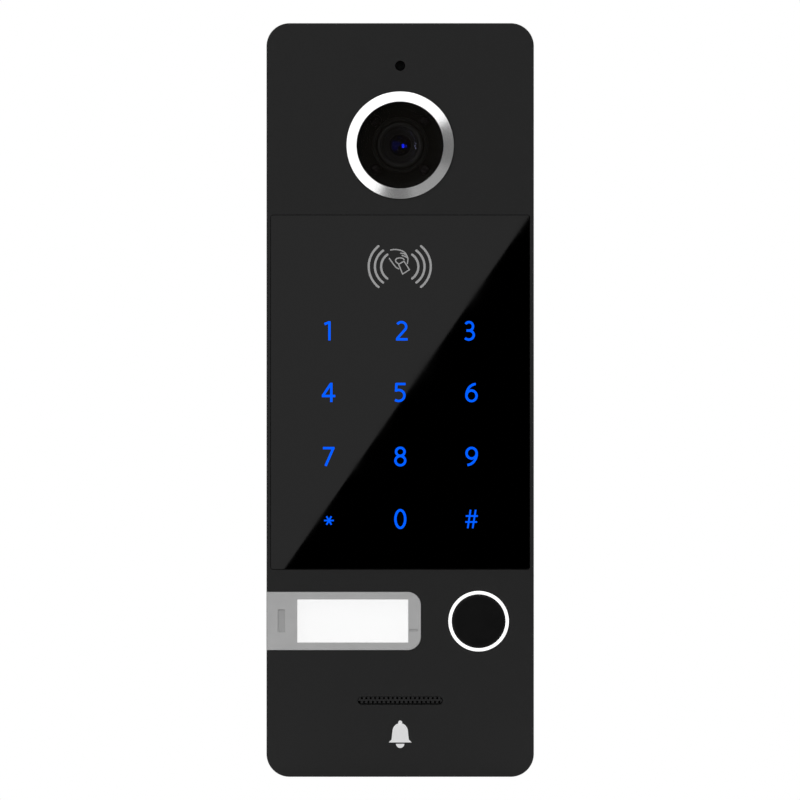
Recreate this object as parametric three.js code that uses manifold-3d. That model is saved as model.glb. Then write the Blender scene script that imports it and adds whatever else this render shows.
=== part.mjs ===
// Door intercom panel: a slim wall station with a camera, a card reader, a touch keypad,
// a lit nameplate that slides out sideways, a call button and a loudspeaker.
//
// Millimetres, +Z up. The origin is on the wall, at the middle of the wall bracket's back
// face, and the front face looks along -Y. Everything is built in the panel's own frame,
// with x to the right, y up and z out of the front face, and one group turns that frame
// upright. A depth is counted from the front face towards the wall.

import * as THREE from "three";
import { mergeVertices } from "three/addons/utils/BufferGeometryUtils.js";
import Module from "manifold-3d";

const wasm = await Module();
wasm.setup();

// ---------------------------------------------------------------- driving dimensions

const OVERALL_DEPTH = 26; // front face to wall

const PANEL = { width: 60.3, height: 170, corner: 5.2, chamfer: 0.4 };
const FACE = 3.6; // thickness of the panel's front wall
const SKIRT = { depth: 8, wall: 1.8 };

const GLASS = { width: 58.6, height: 80.1, y: 1.75, thickness: 1.95 }; // the glass's pocket
const GLASS_WINDOW = { width: 52, ledge: 1.8 }; // opening behind the glass
const KEY = { pitchX: 16.15, pitchY: 14.15, topY: 15.6 };
const KEY_WELL = { width: 11, height: 9.5 };
const LIGHT_FRAME = { width: 51, height: 75.5, front: 2.3, back: 4.6 };
const KEYPAD_BOARD = { width: 51.4, height: 76, front: 4.7, back: 5.9 };
const READER_COIL = { y: 26, width: 42, height: 24, band: 3, front: 6, back: 8 };

const CAMERA_Y = 57.5;
const BEZEL = { outer: 12.1, inner: 9.8, proud: 1.35, barrel: 10.75 };
const WINDOW_SEAT = { ledge: 0.75, front: 1.55, back: 2.4 }; // lip inside the bezel
const BEZEL_END = 7.6; // depth of the bezel's threaded end
const LENS = { radius: 5.45, aperture: 4.3, front: 2.3, neck: 5.1, shoulder: 9.2, end: 13.6 };
const LAMP = { radius: 1.3, circle: 7.75, top: 2.6, foot: 4.2 };

const MIC = { y: 75.4, hole: 1.15 };

const PLATE = { left: -30.05, right: 4.65, height: 13.1, y: -49.85, corner: 3.0 };
const PLATE_FRONT = 1.7; // depth of the cover's visible part, in front of its rails
const RAIL = { side: 0.7, rim: 0.75, back: 2.8 }; // how far the rails stand out past the cover
const PLATE_WINDOW = { x: -10.7, width: 25, height: 9.7 };
const PLATE_LIGHT = { width: 30, height: 12 }; // diffuser and lamp board behind the label

const BUTTON = { x: 17.7, y: -49.9, cap: 5.9, ring: 6.86, travel: 0.6 };

const SPEAKER_Y = -69.2;
const GRILLE = { y: -67.8, width: 19.2, height: 1.84, pitch: 1, holes: 19, hole: 0.25 };
const GRILLE_FLANGE = { width: 22, height: 4.2 };

const HOUSING = { width: 56.1, height: 165.8, corner: 3.2, wall: 2, front: 5, back: 25.2 };
const BACK_WALL = { front: 20.5, back: 22.5 };
const HOUSING_SCREWS = [77, -39.9, -77].flatMap((y) => [
  { x: -22.6, y },
  { x: 22.6, y },
]);
const PILLAR = 3.25;

const PILLAR_SEAT = 8.1; // depth of the pillars' front ends
const SCREW_CLEARANCE = 1.5; // radius of the housing screws' holes

const MAIN_BOARD = { width: 51.4, top: 36, bottom: -67, front: 11.5, back: 13.1 };
const BOARD_SCREWS = [
  { x: -20, y: 30 },
  { x: 20, y: -60.5 },
];
const CAMERA_BOARD = { width: 38, height: 30, front: 16.1, back: 17.3 };
const CAMERA_SCREWS = [
  { x: -15.5, y: 12 },
  { x: 15.5, y: -12 },
]; // from the camera's axis

const CABLE = { y: -28, bore: 3.5, hole: 6.05, flange: 7.5 };
const BRACKET = { width: 50.6, top: 76, bottom: -76.5, front: 24.5, sheet: 1.5 };
const HOOK = { x: 15, width: 10, top: 80.75, front: 22.9, back: 24.1 };
const HOOK_LIP = { width: 14, bottom: 77.5, front: 24.3 };
const WALL_SLOT = { width: 4.4, height: 9, y: 60 };
const SPARE_HOLE = { radius: 2.2, x: 17, y: 12 };
const CABLE_WINDOW = { width: 24, height: 32 };
const LOCK = { depth: 19.5, radius: 1.5, flange: 14 };
const LOCK_POCKET = { width: 18, top: -73, front: 14, wall: 1.5 };

const FIT = 0.1; // gap between pieces that touch
const PAST = 1; // how far a cutting tool runs past a face

// ---------------------------------------------------------------- shapes

// A rectangle with round corners, centred on (x, y).
function roundedRect(width, height, radius, x = 0, y = 0) {
  const right = width / 2 - radius;
  const top = height / 2 - radius;
  const shape = new THREE.Shape();
  shape.absarc(x + right, y - top, radius, -Math.PI / 2, 0);
  shape.absarc(x + right, y + top, radius, 0, Math.PI / 2);
  shape.absarc(x - right, y + top, radius, Math.PI / 2, Math.PI);
  shape.absarc(x - right, y - top, radius, Math.PI, Math.PI * 1.5);
  shape.closePath();
  return shape;
}

// A rectangle whose right-hand corners alone are round.
function tab(left, right, height, radius, y) {
  const shape = new THREE.Shape();
  shape.moveTo(left, y + height / 2);
  shape.lineTo(left, y - height / 2);
  shape.absarc(right - radius, y - height / 2 + radius, radius, -Math.PI / 2, 0);
  shape.absarc(right - radius, y + height / 2 - radius, radius, 0, Math.PI / 2);
  shape.closePath();
  return shape;
}

// A shape pushed through from one depth to another.
function slab(shape, near, far, curveSegments = 3) {
  const depth = far - near;
  const geometry = new THREE.ExtrudeGeometry(shape, { depth, bevelEnabled: false, curveSegments });
  return geometry.translate(0, 0, -far);
}

// A block centred on (x, y).
function block(x, y, width, height, near, far) {
  const geometry = new THREE.BoxGeometry(width, height, far - near);
  return geometry.translate(x, y, -(near + far) / 2);
}

// A block centred on x, between two heights.
function rising(x, width, bottom, top, near, far) {
  return block(x, (bottom + top) / 2, width, top - bottom, near, far);
}

// A round bar along the depth.
function bar(radius, near, far, x = 0, y = 0, sides = 16) {
  const geometry = new THREE.CylinderGeometry(radius, radius, far - near, sides);
  return geometry.rotateX(Math.PI / 2).translate(x, y, -(near + far) / 2);
}

// A profile of [radius, depth] points turned about the depth axis.
function turned(profile, sides = 28) {
  const points = profile.map(([radius, depth]) => new THREE.Vector2(radius, -depth));
  return new THREE.LatheGeometry(points, sides).rotateX(Math.PI / 2);
}

// A ring's closed profile, turned.
function turnedRing(profile, sides = 28) {
  return turned([...profile, profile[0]], sides);
}

function ring(inner, outer, near, far, sides = 28) {
  return turnedRing([[inner, near], [outer, near], [outer, far], [inner, far]], sides);
}

// A round wire through [x, y, depth] points.
function wire(points, radius, steps) {
  const route = points.map(([x, y, depth]) => new THREE.Vector3(x, y, -depth));
  const path = new THREE.CatmullRomCurve3(route);
  const section = new THREE.Shape().absarc(0, 0, radius, 0, Math.PI * 2);
  return new THREE.ExtrudeGeometry(section, { extrudePath: path, steps, curveSegments: 4 });
}

// ---------------------------------------------------------------- joining and cutting

// Turns a closed geometry into a solid, with its faces pointing out.
function solidOf(geometry) {
  const bare = new THREE.BufferGeometry();
  const source = geometry.index ? geometry.toNonIndexed() : geometry;
  bare.setAttribute("position", source.getAttribute("position"));
  const merged = mergeVertices(bare, 1e-4);
  const vertProperties = merged.getAttribute("position").array;
  const triVerts = new Uint32Array(merged.index.array);
  const solid = new wasm.Manifold(new wasm.Mesh({ numProp: 3, vertProperties, triVerts }));
  if (solid.volume() > 0) return solid;
  for (let i = 0; i < triVerts.length; i += 3) {
    [triVerts[i + 1], triVerts[i + 2]] = [triVerts[i + 2], triVerts[i + 1]];
  }
  return new wasm.Manifold(new wasm.Mesh({ numProp: 3, vertProperties, triVerts }));
}

function geometryOf(solid) {
  const { vertProperties, triVerts } = solid.getMesh();
  const geometry = new THREE.BufferGeometry();
  geometry.setAttribute("position", new THREE.BufferAttribute(vertProperties, 3));
  geometry.setIndex(new THREE.BufferAttribute(triVerts, 1));
  geometry.computeVertexNormals();
  return geometry;
}

const join = (first, ...rest) =>
  geometryOf(rest.reduce((sum, geometry) => sum.add(solidOf(geometry)), solidOf(first)));
const cut = (first, ...tools) =>
  geometryOf(tools.reduce((rest, tool) => rest.subtract(solidOf(tool)), solidOf(first)));

// ---------------------------------------------------------------- finishes

const finish = (color, roughness, metalness = 0, extra = {}) =>
  new THREE.MeshStandardMaterial({ color, roughness, metalness, ...extra });

const FINISH = {
  blackPaint: finish(0x272727, 0.5, 0.3),
  glass: finish(0x050505, 0.05),
  clear: finish(0xd8dde0, 0.05, 0, { transparent: true, opacity: 0.4 }),
  lensGlass: finish(0x101028, 0.03),
  steel: finish(0xc8c8c6, 0.25, 1),
  zincSteel: finish(0x9a9c9e, 0.4, 1),
  blackPlastic: finish(0x1b1b1b, 0.6),
  buttonPlastic: finish(0x131313, 0.45),
  greyPlastic: finish(0x9e9e9e, 0.5),
  whitePlastic: finish(0xf4f4f4, 0.5),
  paper: finish(0xfafafa, 0.9),
  rubber: finish(0x161616, 0.85),
  silicone: finish(0xb9bcbe, 0.7),
  foam: finish(0x202020, 0.95),
  board: finish(0x1d4a2c, 0.6),
  chip: finish(0x101010, 0.5),
  copper: finish(0xb06a3a, 0.35, 1),
  film: finish(0xb9925a, 0.5),
  wire: finish(0x8c1f1f, 0.6),
};

// ---------------------------------------------------------------- assembly

const intercom = new THREE.Group();
const panelFrame = new THREE.Group();
panelFrame.rotation.x = Math.PI / 2;
panelFrame.position.y = -OVERALL_DEPTH;
intercom.add(panelFrame);

function station(x, y) {
  const group = new THREE.Group();
  group.position.set(x, y, 0);
  panelFrame.add(group);
  return group;
}

function piece(name, geometry, material, parent = panelFrame) {
  const mesh = new THREE.Mesh(geometryOf(solidOf(geometry)), material);
  mesh.name = name;
  parent.add(mesh);
  return mesh;
}

const cameraStation = station(0, CAMERA_Y);
const micStation = station(0, MIC.y);
const buttonStation = station(BUTTON.x, BUTTON.y);
const speakerStation = station(0, SPEAKER_Y);

// ---------------------------------------------------------------- front panel and glass

// Aluminium tray: a thick face with a shallow skirt and bosses for the housing screws.
function tray() {
  const { width, height, corner, chamfer } = PANEL;
  const outline = roundedRect(width - 2 * chamfer, height - 2 * chamfer, corner - chamfer);
  const blank = new THREE.ExtrudeGeometry(outline, {
    depth: SKIRT.depth,
    bevelThickness: chamfer,
    bevelSize: chamfer,
    bevelSegments: 1,
    curveSegments: 5,
  }).translate(0, 0, -SKIRT.depth - chamfer);
  const inner = roundedRect(width - 2 * SKIRT.wall, height - 2 * SKIRT.wall, corner - SKIRT.wall);
  const shell = cut(
    blank,
    slab(roundedRect(width * 2, height * 2, 1), SKIRT.depth, SKIRT.depth + PAST * 2),
    slab(inner, FACE, SKIRT.depth + PAST, 4),
  );
  const bosses = HOUSING_SCREWS.map(({ x, y }) => bar(3, FACE - 0.5, SKIRT.depth - FIT, x, y, 12));
  const holes = HOUSING_SCREWS.map(({ x, y }) => bar(1.3, 4.2, SKIRT.depth + PAST, x, y, 8));
  return cut(join(shell, ...bosses), ...holes);
}

// The nameplate's slot and the wider groove behind it, both open at the panel's left edge.
function plateSlots() {
  const { right, height, corner, y } = PLATE;
  const open = -PANEL.width;
  const slot = tab(open, right + FIT, height + 2 * FIT, corner + FIT, y);
  const sideways = RAIL.side + 2 * FIT;
  const groove = tab(open, right + sideways, height + 2 * (RAIL.rim + 1.5 * FIT), corner + sideways, y);
  return [slab(slot, -PAST, PLATE_FRONT), slab(groove, PLATE_FRONT - FIT, RAIL.back + FIT)];
}

function frontPanel() {
  const far = FACE + PAST;
  const windowHeight = GLASS.height - 2 * GLASS_WINDOW.ledge;
  const flange = roundedRect(GRILLE_FLANGE.width + 2 * FIT, GRILLE_FLANGE.height + 2 * FIT, 1, 0, GRILLE.y);
  return cut(
    tray(),
    slab(roundedRect(GLASS.width, GLASS.height, 0.6, 0, GLASS.y), -PAST, GLASS.thickness + 0.15, 3),
    slab(roundedRect(GLASS_WINDOW.width, windowHeight, 2, 0, GLASS.y), 0, far, 4),
    bar(BEZEL.barrel + 0.15, -PAST, far, 0, CAMERA_Y, 36),
    bar(MIC.hole, -PAST, far, 0, MIC.y, 12),
    ...plateSlots(),
    block(PLATE_WINDOW.x, PLATE.y, PLATE_WINDOW.width + 2, PLATE_WINDOW.height - FIT, 2, far),
    bar(BUTTON.ring + FIT, -PAST, far, BUTTON.x, BUTTON.y, 32),
    slab(roundedRect(GRILLE.width, GRILLE.height, GRILLE.height / 2, 0, GRILLE.y), -PAST, far, 4),
    slab(flange, 2.4, far),
  );
}

piece("front_panel", frontPanel(), FINISH.blackPaint);

const glassOutline = roundedRect(GLASS.width - 2 * FIT, GLASS.height - 2 * FIT, 0.5, 0, GLASS.y);
piece("touch_glass", slab(glassOutline, 0, GLASS.thickness, 3), FINISH.glass);

// ---------------------------------------------------------------- keypad and card reader

const keyCentres = [0, 1, 2, 3].flatMap((row) =>
  [-1, 0, 1].map((column) => ({ x: column * KEY.pitchX, y: KEY.topY - row * KEY.pitchY })),
);

// White frame with a light well under each legend.
function lightFrame() {
  const { width, height, front, back } = LIGHT_FRAME;
  const plate = slab(roundedRect(width, height, 1.8, 0, GLASS.y), front, back, 3);
  const wells = keyCentres.map(({ x, y }) =>
    block(x, y, KEY_WELL.width, KEY_WELL.height, front - PAST, back + PAST),
  );
  return cut(plate, ...wells);
}

function keypadBoard() {
  const { width, height, front, back } = KEYPAD_BOARD;
  return slab(roundedRect(width, height, 1.5, 0, GLASS.y), front, back, 3);
}

function readerCoil() {
  const { y, width, height, band, front, back } = READER_COIL;
  const loop = roundedRect(width, height, 2 * band, 0, y);
  loop.holes.push(roundedRect(width - 2 * band, height - 2 * band, band, 0, y));
  return slab(loop, front, back, 5);
}

piece("keypad_light_frame", lightFrame(), FINISH.whitePlastic);
piece("keypad_board", keypadBoard(), FINISH.board);
piece("keypad_header", block(0, -31, 12, 5, 6, 11.4), FINISH.blackPlastic);
piece("rfid_coil", readerCoil(), FINISH.copper);

// ---------------------------------------------------------------- camera

// Bevelled ring with a lip inside it for the window, and a threaded end behind.
function bezel() {
  const { outer, inner, proud, barrel } = BEZEL;
  const { ledge, front, back } = WINDOW_SEAT;
  const foot = -0.05;
  const profile = [
    [outer, foot],
    [outer, -0.3],
    [inner + 0.25, -proud],
    [inner, -proud + 0.1],
    [inner, front],
    [inner - ledge, front],
    [inner - ledge, back],
    [inner, back],
    [inner, BEZEL_END],
    [barrel, BEZEL_END],
    [barrel, foot],
  ];
  return turnedRing(profile, 36);
}

// A convex cap: points along an arc from the axis, at the top, to the rim.
function domeProfile(radius, top, rim, steps) {
  const sag = rim - top;
  const curve = (radius * radius + sag * sag) / (2 * sag);
  return Array.from({ length: steps + 1 }, (_, i) => {
    const r = (radius * i) / steps;
    return [r, top + curve - Math.sqrt(curve * curve - r * r)];
  });
}

function cameraWindow() {
  const radius = BEZEL.inner - 0.15;
  const back = WINDOW_SEAT.front - FIT;
  return turned([...domeProfile(radius, -0.75, -0.2, 3), [radius, back], [0, back]], 32);
}

function lensBarrel() {
  const { radius, aperture, front, neck, shoulder, end } = LENS;
  const profile = [
    [0, front + 2.7],
    [aperture, front + 2.7],
    [aperture, front + 0.9],
    [aperture + 0.1, front + 0.2],
    [radius - 0.4, front],
    [radius, front + 0.4],
    [radius, shoulder],
    [neck, shoulder],
    [neck, end],
    [0, end],
  ];
  return turned(profile, 24);
}

function lensGlass() {
  const radius = LENS.aperture - FIT;
  return turned([...domeProfile(radius, 2.55, 3.5, 3), [radius, 4.9], [0, 4.9]], 24);
}

function lensHolder() {
  const body = block(0, 0, 14, 14, 9.5, CAMERA_BOARD.front - 0.15);
  const sensorWell = block(0, 0, 9.5, 8.5, 14.2, 17);
  return cut(body, bar(LENS.neck + 0.2, 9, 14.3, 0, 0, 24), sensorWell);
}

function cameraBoard() {
  const { width, height, front, back } = CAMERA_BOARD;
  const holes = CAMERA_SCREWS.map(({ x, y }) => bar(1, front - PAST, back + PAST, x, y, 8));
  return cut(slab(roundedRect(width, height, 1.5), front, back), ...holes);
}

// A pan-head screw driven towards the wall (or, with a negative length, away from it).
function panScrew(headRadius, shankRadius, headFrom, headTo, tip, sides = 10) {
  const profile = [
    [0, headFrom],
    [headRadius, headFrom],
    [headRadius, headTo],
    [shankRadius, headTo],
    [shankRadius, tip],
    [0, tip],
  ];
  return turned(profile, sides);
}

piece("camera_bezel", bezel(), FINISH.steel, cameraStation);
piece("bezel_nut", ring(BEZEL.barrel + 0.2, 13.2, 3.7, 5.9), FINISH.zincSteel, cameraStation);
piece("camera_window", cameraWindow(), FINISH.clear, cameraStation);
piece("light_shield", ring(5.65, 6.2, 1.6, 6.8), FINISH.rubber, cameraStation);
piece("ir_led_board", ring(6.35, 9.45, 4.3, 5.3), FINISH.board, cameraStation);
for (let i = 0; i < 4; i += 1) {
  const angle = Math.PI / 4 + (i * Math.PI) / 2;
  const { radius, circle, top, foot } = LAMP;
  const lamp = turned([...domeProfile(radius, top, top + 0.7, 2), [radius, foot], [0, foot]], 10);
  const mesh = piece(`ir_led_${i + 1}`, lamp, FINISH.clear, cameraStation);
  mesh.position.set(circle * Math.cos(angle), circle * Math.sin(angle), 0);
}
piece("lens_barrel", lensBarrel(), FINISH.blackPlastic, cameraStation);
piece("lens_glass", lensGlass(), FINISH.lensGlass, cameraStation);
piece("lens_holder", lensHolder(), FINISH.blackPlastic, cameraStation);
piece("camera_board", cameraBoard(), FINISH.board, cameraStation);
piece("image_sensor", block(0, 0, 7, 6, 15.1, 16), FINISH.chip, cameraStation);
CAMERA_SCREWS.forEach(({ x, y }, i) => {
  const screw = panScrew(1.8, 0.8, 14.7, 16, 20);
  const mesh = piece(`camera_screw_${i + 1}`, screw, FINISH.zincSteel, cameraStation);
  mesh.position.set(x, y, 0);
});

// Flat flex from the camera board to the main board: a strip of even thickness along a
// line of [height, depth] points, pulled sideways to its width.
function ribbon(points, thickness, width) {
  const route = points.map(([y, depth]) => new THREE.Vector3(y, depth, 0));
  const line = new THREE.CatmullRomCurve3(route);
  const steps = 12;
  const side = (sign) =>
    Array.from({ length: steps + 1 }, (_, i) => {
      const at = line.getPoint(i / steps);
      const along = line.getTangent(i / steps);
      const reach = (sign * thickness) / 2;
      return new THREE.Vector2(at.x - along.y * reach, at.y + along.x * reach);
    });
  const outline = new THREE.Shape([...side(1), ...side(-1).reverse()]);
  const strip = new THREE.ExtrudeGeometry(outline, { depth: width, bevelEnabled: false });
  // The outline's x becomes height and its y becomes depth.
  const turn = new THREE.Matrix4().set(0, 0, 1, -width / 2, 1, 0, 0, 0, 0, -1, 0, 0, 0, 0, 0, 1);
  return strip.applyMatrix4(turn);
}

const flexLine = [
  [46, 17.65],
  [42.5, 17.8],
  [38.6, 16.6],
  [35.4, 14.4],
  [32.6, 13.45],
  [29.5, 13.4],
];
piece("camera_ribbon", ribbon(flexLine, 0.3, 9), FINISH.film);

// ---------------------------------------------------------------- microphone

const bootProfile = [
  [1, 3.7],
  [4.2, 3.7],
  [4.2, 8.6],
  [3.15, 8.6],
  [3.15, 5.1],
  [1, 5.1],
];
piece("microphone_boot", turnedRing(bootProfile, 20), FINISH.rubber, micStation);
piece("microphone_capsule", bar(3.05, 5.2, 7.9, 0, 0, 20), FINISH.steel, micStation);
const micLead = [
  [1.5, 75.4, 8.6],
  [3.2, 75, 9.6],
  [9, 72.5, 10],
  [16, 66.5, 10],
  [18, 57, 10],
  [16.5, 46, 10],
  [13, 39, 10.2],
  [12, 35, 10.8],
];
piece("microphone_lead", wire(micLead, 0.55, 28), FINISH.wire);

// ---------------------------------------------------------------- loudspeaker

// Perforated strip: its nose fills the top of the slot and leaves a shadow gap below.
function speakerGrille() {
  const { y, width, height, pitch } = GRILLE;
  const noseHeight = 1.5;
  const noseY = y + (height - noseHeight) / 2 - 0.05;
  const nose = roundedRect(width - 0.3, noseHeight, noseHeight / 2 - 0.01, 0, noseY);
  const flange = roundedRect(GRILLE_FLANGE.width, GRILLE_FLANGE.height, 0.9, 0, y);
  const strip = join(slab(nose, 0.15, 2.6, 4), slab(flange, 2.5, 3.5, 3));
  const rowGap = pitch * Math.sin(Math.PI / 3);
  const holes = [-1, 1].flatMap((side) =>
    Array.from({ length: GRILLE.holes }, (_, i) => {
      const x = (i - (GRILLE.holes - 1) / 2 + side / 4) * pitch;
      return bar(GRILLE.hole, 0, 4, x, noseY + (side * rowGap) / 2, 6);
    }),
  );
  return cut(strip, ...holes);
}

const basketProfile = [
  [11.4, 4.5],
  [11.4, 7.6],
  [3, 7.6],
  [3, 7],
  [10.3, 7],
  [10.3, 4.5],
];
const coneProfile = [
  [0, 5.55],
  [3.6, 5.95],
  [9.9, 5],
  [9.9, 5.25],
  [3.7, 6.25],
  [0, 5.85],
];
piece("speaker_grille", speakerGrille(), FINISH.blackPlastic);
piece("speaker_gasket", ring(9.95, 11.4, 3.7, 4.4), FINISH.foam, speakerStation);
piece("speaker_basket", turnedRing(basketProfile), FINISH.zincSteel, speakerStation);
piece("speaker_cone", turned(coneProfile), FINISH.film, speakerStation);
piece("speaker_magnet", bar(6.2, 7.7, 10.3, 0, 0, 24), FINISH.zincSteel, speakerStation);
const speakerLead = [
  [8.2, -61.5, 8.4],
  [9.2, -60, 9.2],
  [9.5, -58.4, 10],
  [9, -57, 10.8],
];
piece("speaker_lead", wire(speakerLead, 0.55, 12), FINISH.wire);

// ---------------------------------------------------------------- nameplate

// A block behind or in the nameplate's window, wider and taller than it by twice the margin.
const atWindow = (margin, near, far) =>
  block(
    PLATE_WINDOW.x,
    PLATE.y,
    PLATE_WINDOW.width + 2 * margin,
    PLATE_WINDOW.height + 2 * margin,
    near,
    far,
  );

// Grey sliding cover: a flush front part with rails behind it that run in the panel's groove.
function nameplateCover() {
  const { left, right, height, corner, y } = PLATE;
  const rails = tab(left, right + RAIL.side, height + 2 * RAIL.rim, corner + RAIL.side, y);
  const fingerRecess = block(-26.8, y, 1.6, 5.2, -PAST, 0.25);
  const indexLine = block(3, y - 2.1, 2, 0.6, -PAST, 0.2);
  const front = slab(tab(left, right, height, corner, y), 0, PLATE_FRONT + 0.1);
  return cut(
    join(front, slab(rails, PLATE_FRONT, RAIL.back)),
    atWindow(0, -PAST, 1.5),
    atWindow(0.6, 1.3, RAIL.back + PAST),
    fingerRecess,
    indexLine,
  );
}

piece("nameplate_cover", nameplateCover(), FINISH.greyPlastic);
piece("nameplate_window", join(atWindow(-FIT, 0.05, 1.5), atWindow(0.5, 1.4, 1.9)), FINISH.clear);
piece("name_label", atWindow(0.4, 2, 2.3), FINISH.paper);

// Two side-view lamps shine into pockets in the back of a diffuser.
const lampPockets = [-17, -4.4];

function diffuser() {
  const { width, height } = PLATE_LIGHT;
  const { x } = PLATE_WINDOW;
  const nose = block(x, PLATE.y, PLATE_WINDOW.width + 1.4, PLATE_WINDOW.height - 0.5, 3.05, 3.8);
  const body = block(x, PLATE.y, width, height, 3.7, 6.2);
  const pockets = lampPockets.map((at) => block(at, PLATE.y, 4, 3, 5.4, 7));
  return cut(join(nose, body), ...pockets);
}

function lampBoard() {
  const { width, height } = PLATE_LIGHT;
  const board = block(PLATE_WINDOW.x, PLATE.y, width, height - 1, 6.4, 7.4);
  const lamps = lampPockets.map((x) => block(x, PLATE.y, 3.2, 2.4, 5.7, 6.5));
  return join(board, ...lamps);
}

piece("nameplate_diffuser", diffuser(), FINISH.whitePlastic);
piece("nameplate_light_board", lampBoard(), FINISH.board);

// ---------------------------------------------------------------- call button

const capProfile = [
  [0, -0.55],
  [5.2, -0.5],
  [5.7, -0.25],
  [BUTTON.cap, 0.1],
  [BUTTON.cap, 3],
  [6.35, 3],
  [6.35, 4.2],
  [2.1, 4.2],
  [2.1, 5.9],
  [0, 5.9],
];
const ringProfile = [
  [6.02, -0.1],
  [6.15, -0.25],
  [6.75, -0.25],
  [BUTTON.ring, -0.1],
  [BUTTON.ring, 3.7],
  [7.6, 3.7],
  [7.6, 4.9],
  [7.2, 4.9],
  [7.2, 11.3],
  [6.5, 11.3],
  [6.5, 2.85],
  [6.02, 2.85],
];
const sealProfile = [
  [0, 6],
  [2.4, 6],
  [6.4, 8.4],
  [6.4, 11.4],
  [5.7, 11.4],
  [5.7, 8.8],
  [2.2, 6.65],
  [0, 6.65],
];
piece("call_button_cap", turned(capProfile, 32), FINISH.buttonPlastic, buttonStation);
piece("call_button_ring", turnedRing(ringProfile, 32), FINISH.whitePlastic, buttonStation);
piece("call_button_seal", turned(sealProfile, 24), FINISH.silicone, buttonStation);

// The switch's plunger has room in its well for the button's whole travel.
const PLUNGER = { radius: 1.7, top: 6.75, foot: 9.1 };

function switchBody() {
  const well = bar(PLUNGER.radius + 0.15, 8, PLUNGER.foot + BUTTON.travel + 0.3);
  return cut(block(0, 0, 6, 6, 8.3, MAIN_BOARD.front - FIT), well);
}

const plunger = bar(PLUNGER.radius, PLUNGER.top, PLUNGER.foot);
piece("call_switch_body", switchBody(), FINISH.blackPlastic, buttonStation);
piece("call_switch_plunger", plunger, FINISH.greyPlastic, buttonStation);

// ---------------------------------------------------------------- main board

function mainBoard() {
  const { width, top, bottom, front, back } = MAIN_BOARD;
  const outline = roundedRect(width, top - bottom, 1.5, 0, (top + bottom) / 2);
  const through = (radius, sides) => ({ x, y }) => bar(radius, front - PAST, back + PAST, x, y, sides);
  const pillarNotches = HOUSING_SCREWS.map(through(PILLAR + 0.7, 16));
  const screwHoles = BOARD_SCREWS.map(through(1, 8));
  return cut(slab(outline, front, back), ...pillarNotches, ...screwHoles);
}

const boardTop = MAIN_BOARD.back + FIT; // the side that faces the wall
const headerShell = block(0, -9, 16, 6, boardTop, 19.7);
piece("main_board", mainBoard(), FINISH.board);
piece("processor_chip", block(-8, 12, 13, 13, boardTop, 14.5), FINISH.chip);
piece("lock_relay", block(14, 8, 15, 8, boardTop, 19.2), FINISH.blackPlastic);
piece("cable_header", cut(headerShell, block(0, -9, 14.4, 4.4, 15, 21)), FINISH.whitePlastic);
BOARD_SCREWS.forEach(({ x, y }, i) => {
  const mesh = piece(`board_screw_${i + 1}`, panScrew(1.9, 0.8, 10.1, 11.4, 18), FINISH.zincSteel);
  mesh.position.set(x, y, 0);
});

// ---------------------------------------------------------------- rear housing and seals

// Screw posts that grow forwards from the housing's back wall.
function posts(places, radius, front, shiftY = 0) {
  return places.map(({ x, y }) => bar(radius, front, BACK_WALL.front + 0.5, x, y + shiftY, 12));
}

// Plastic tub behind the panel. Its back wall is set in, so that the bracket lies in a recess.
function rearHousing() {
  const { width, height, corner, wall, front, back } = HOUSING;
  const innerHeight = height - 2 * wall;
  const inner = roundedRect(width - 2 * wall, innerHeight, corner - wall + 0.3);
  const bottom = -height / 2;
  const shell = cut(
    slab(roundedRect(width, height, corner), front, back, 4),
    slab(inner, front - PAST, BACK_WALL.front),
    slab(inner, BACK_WALL.back, back + PAST),
  );
  const hookLips = [-HOOK.x, HOOK.x].map((x) =>
    rising(x, HOOK_LIP.width, HOOK_LIP.bottom, innerHeight / 2 + 0.5, HOOK_LIP.front, back),
  );
  const pocketWall = LOCK_POCKET.wall;
  const lockPocket = rising(
    0,
    LOCK_POCKET.width + 2 * pocketWall,
    bottom + 1,
    LOCK_POCKET.top + pocketWall,
    LOCK_POCKET.front - pocketWall,
    BACK_WALL.back,
  );
  const lockHole = new THREE.CylinderGeometry(LOCK.radius + 0.25, LOCK.radius + 0.25, 6, 16);
  const solid = join(
    shell,
    ...posts(HOUSING_SCREWS, PILLAR, PILLAR_SEAT),
    ...posts(BOARD_SCREWS, 2.4, MAIN_BOARD.back + FIT),
    ...posts(CAMERA_SCREWS, 2.2, CAMERA_BOARD.back + FIT, CAMERA_Y),
    ...hookLips,
    lockPocket,
  );
  return cut(
    solid,
    rising(0, LOCK_POCKET.width, bottom + wall, LOCK_POCKET.top, LOCK_POCKET.front, back + PAST),
    lockHole.translate(0, bottom + 1, -LOCK.depth),
    bar(CABLE.hole, BACK_WALL.front - PAST, BACK_WALL.back + PAST, 0, CABLE.y, 24),
    ...HOUSING_SCREWS.map(({ x, y }) => bar(SCREW_CLEARANCE, 7, 24, x, y, 8)),
    ...HOUSING_SCREWS.map(({ x, y }) => bar(2.6, 19.6, 24, x, y, 12)),
    ...BOARD_SCREWS.map(({ x, y }) => bar(0.95, 12, 19, x, y, 8)),
    ...CAMERA_SCREWS.map(({ x, y }) => bar(0.95, 16, 20.6, x, CAMERA_Y + y, 8)),
  );
}

// A flat seal that follows a rounded rectangle.
function frameGasket(width, height, corner, band, near, far) {
  const outline = roundedRect(width, height, corner);
  outline.holes.push(roundedRect(width - 2 * band, height - 2 * band, corner - band * 0.5));
  return slab(outline, near, far);
}

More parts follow.
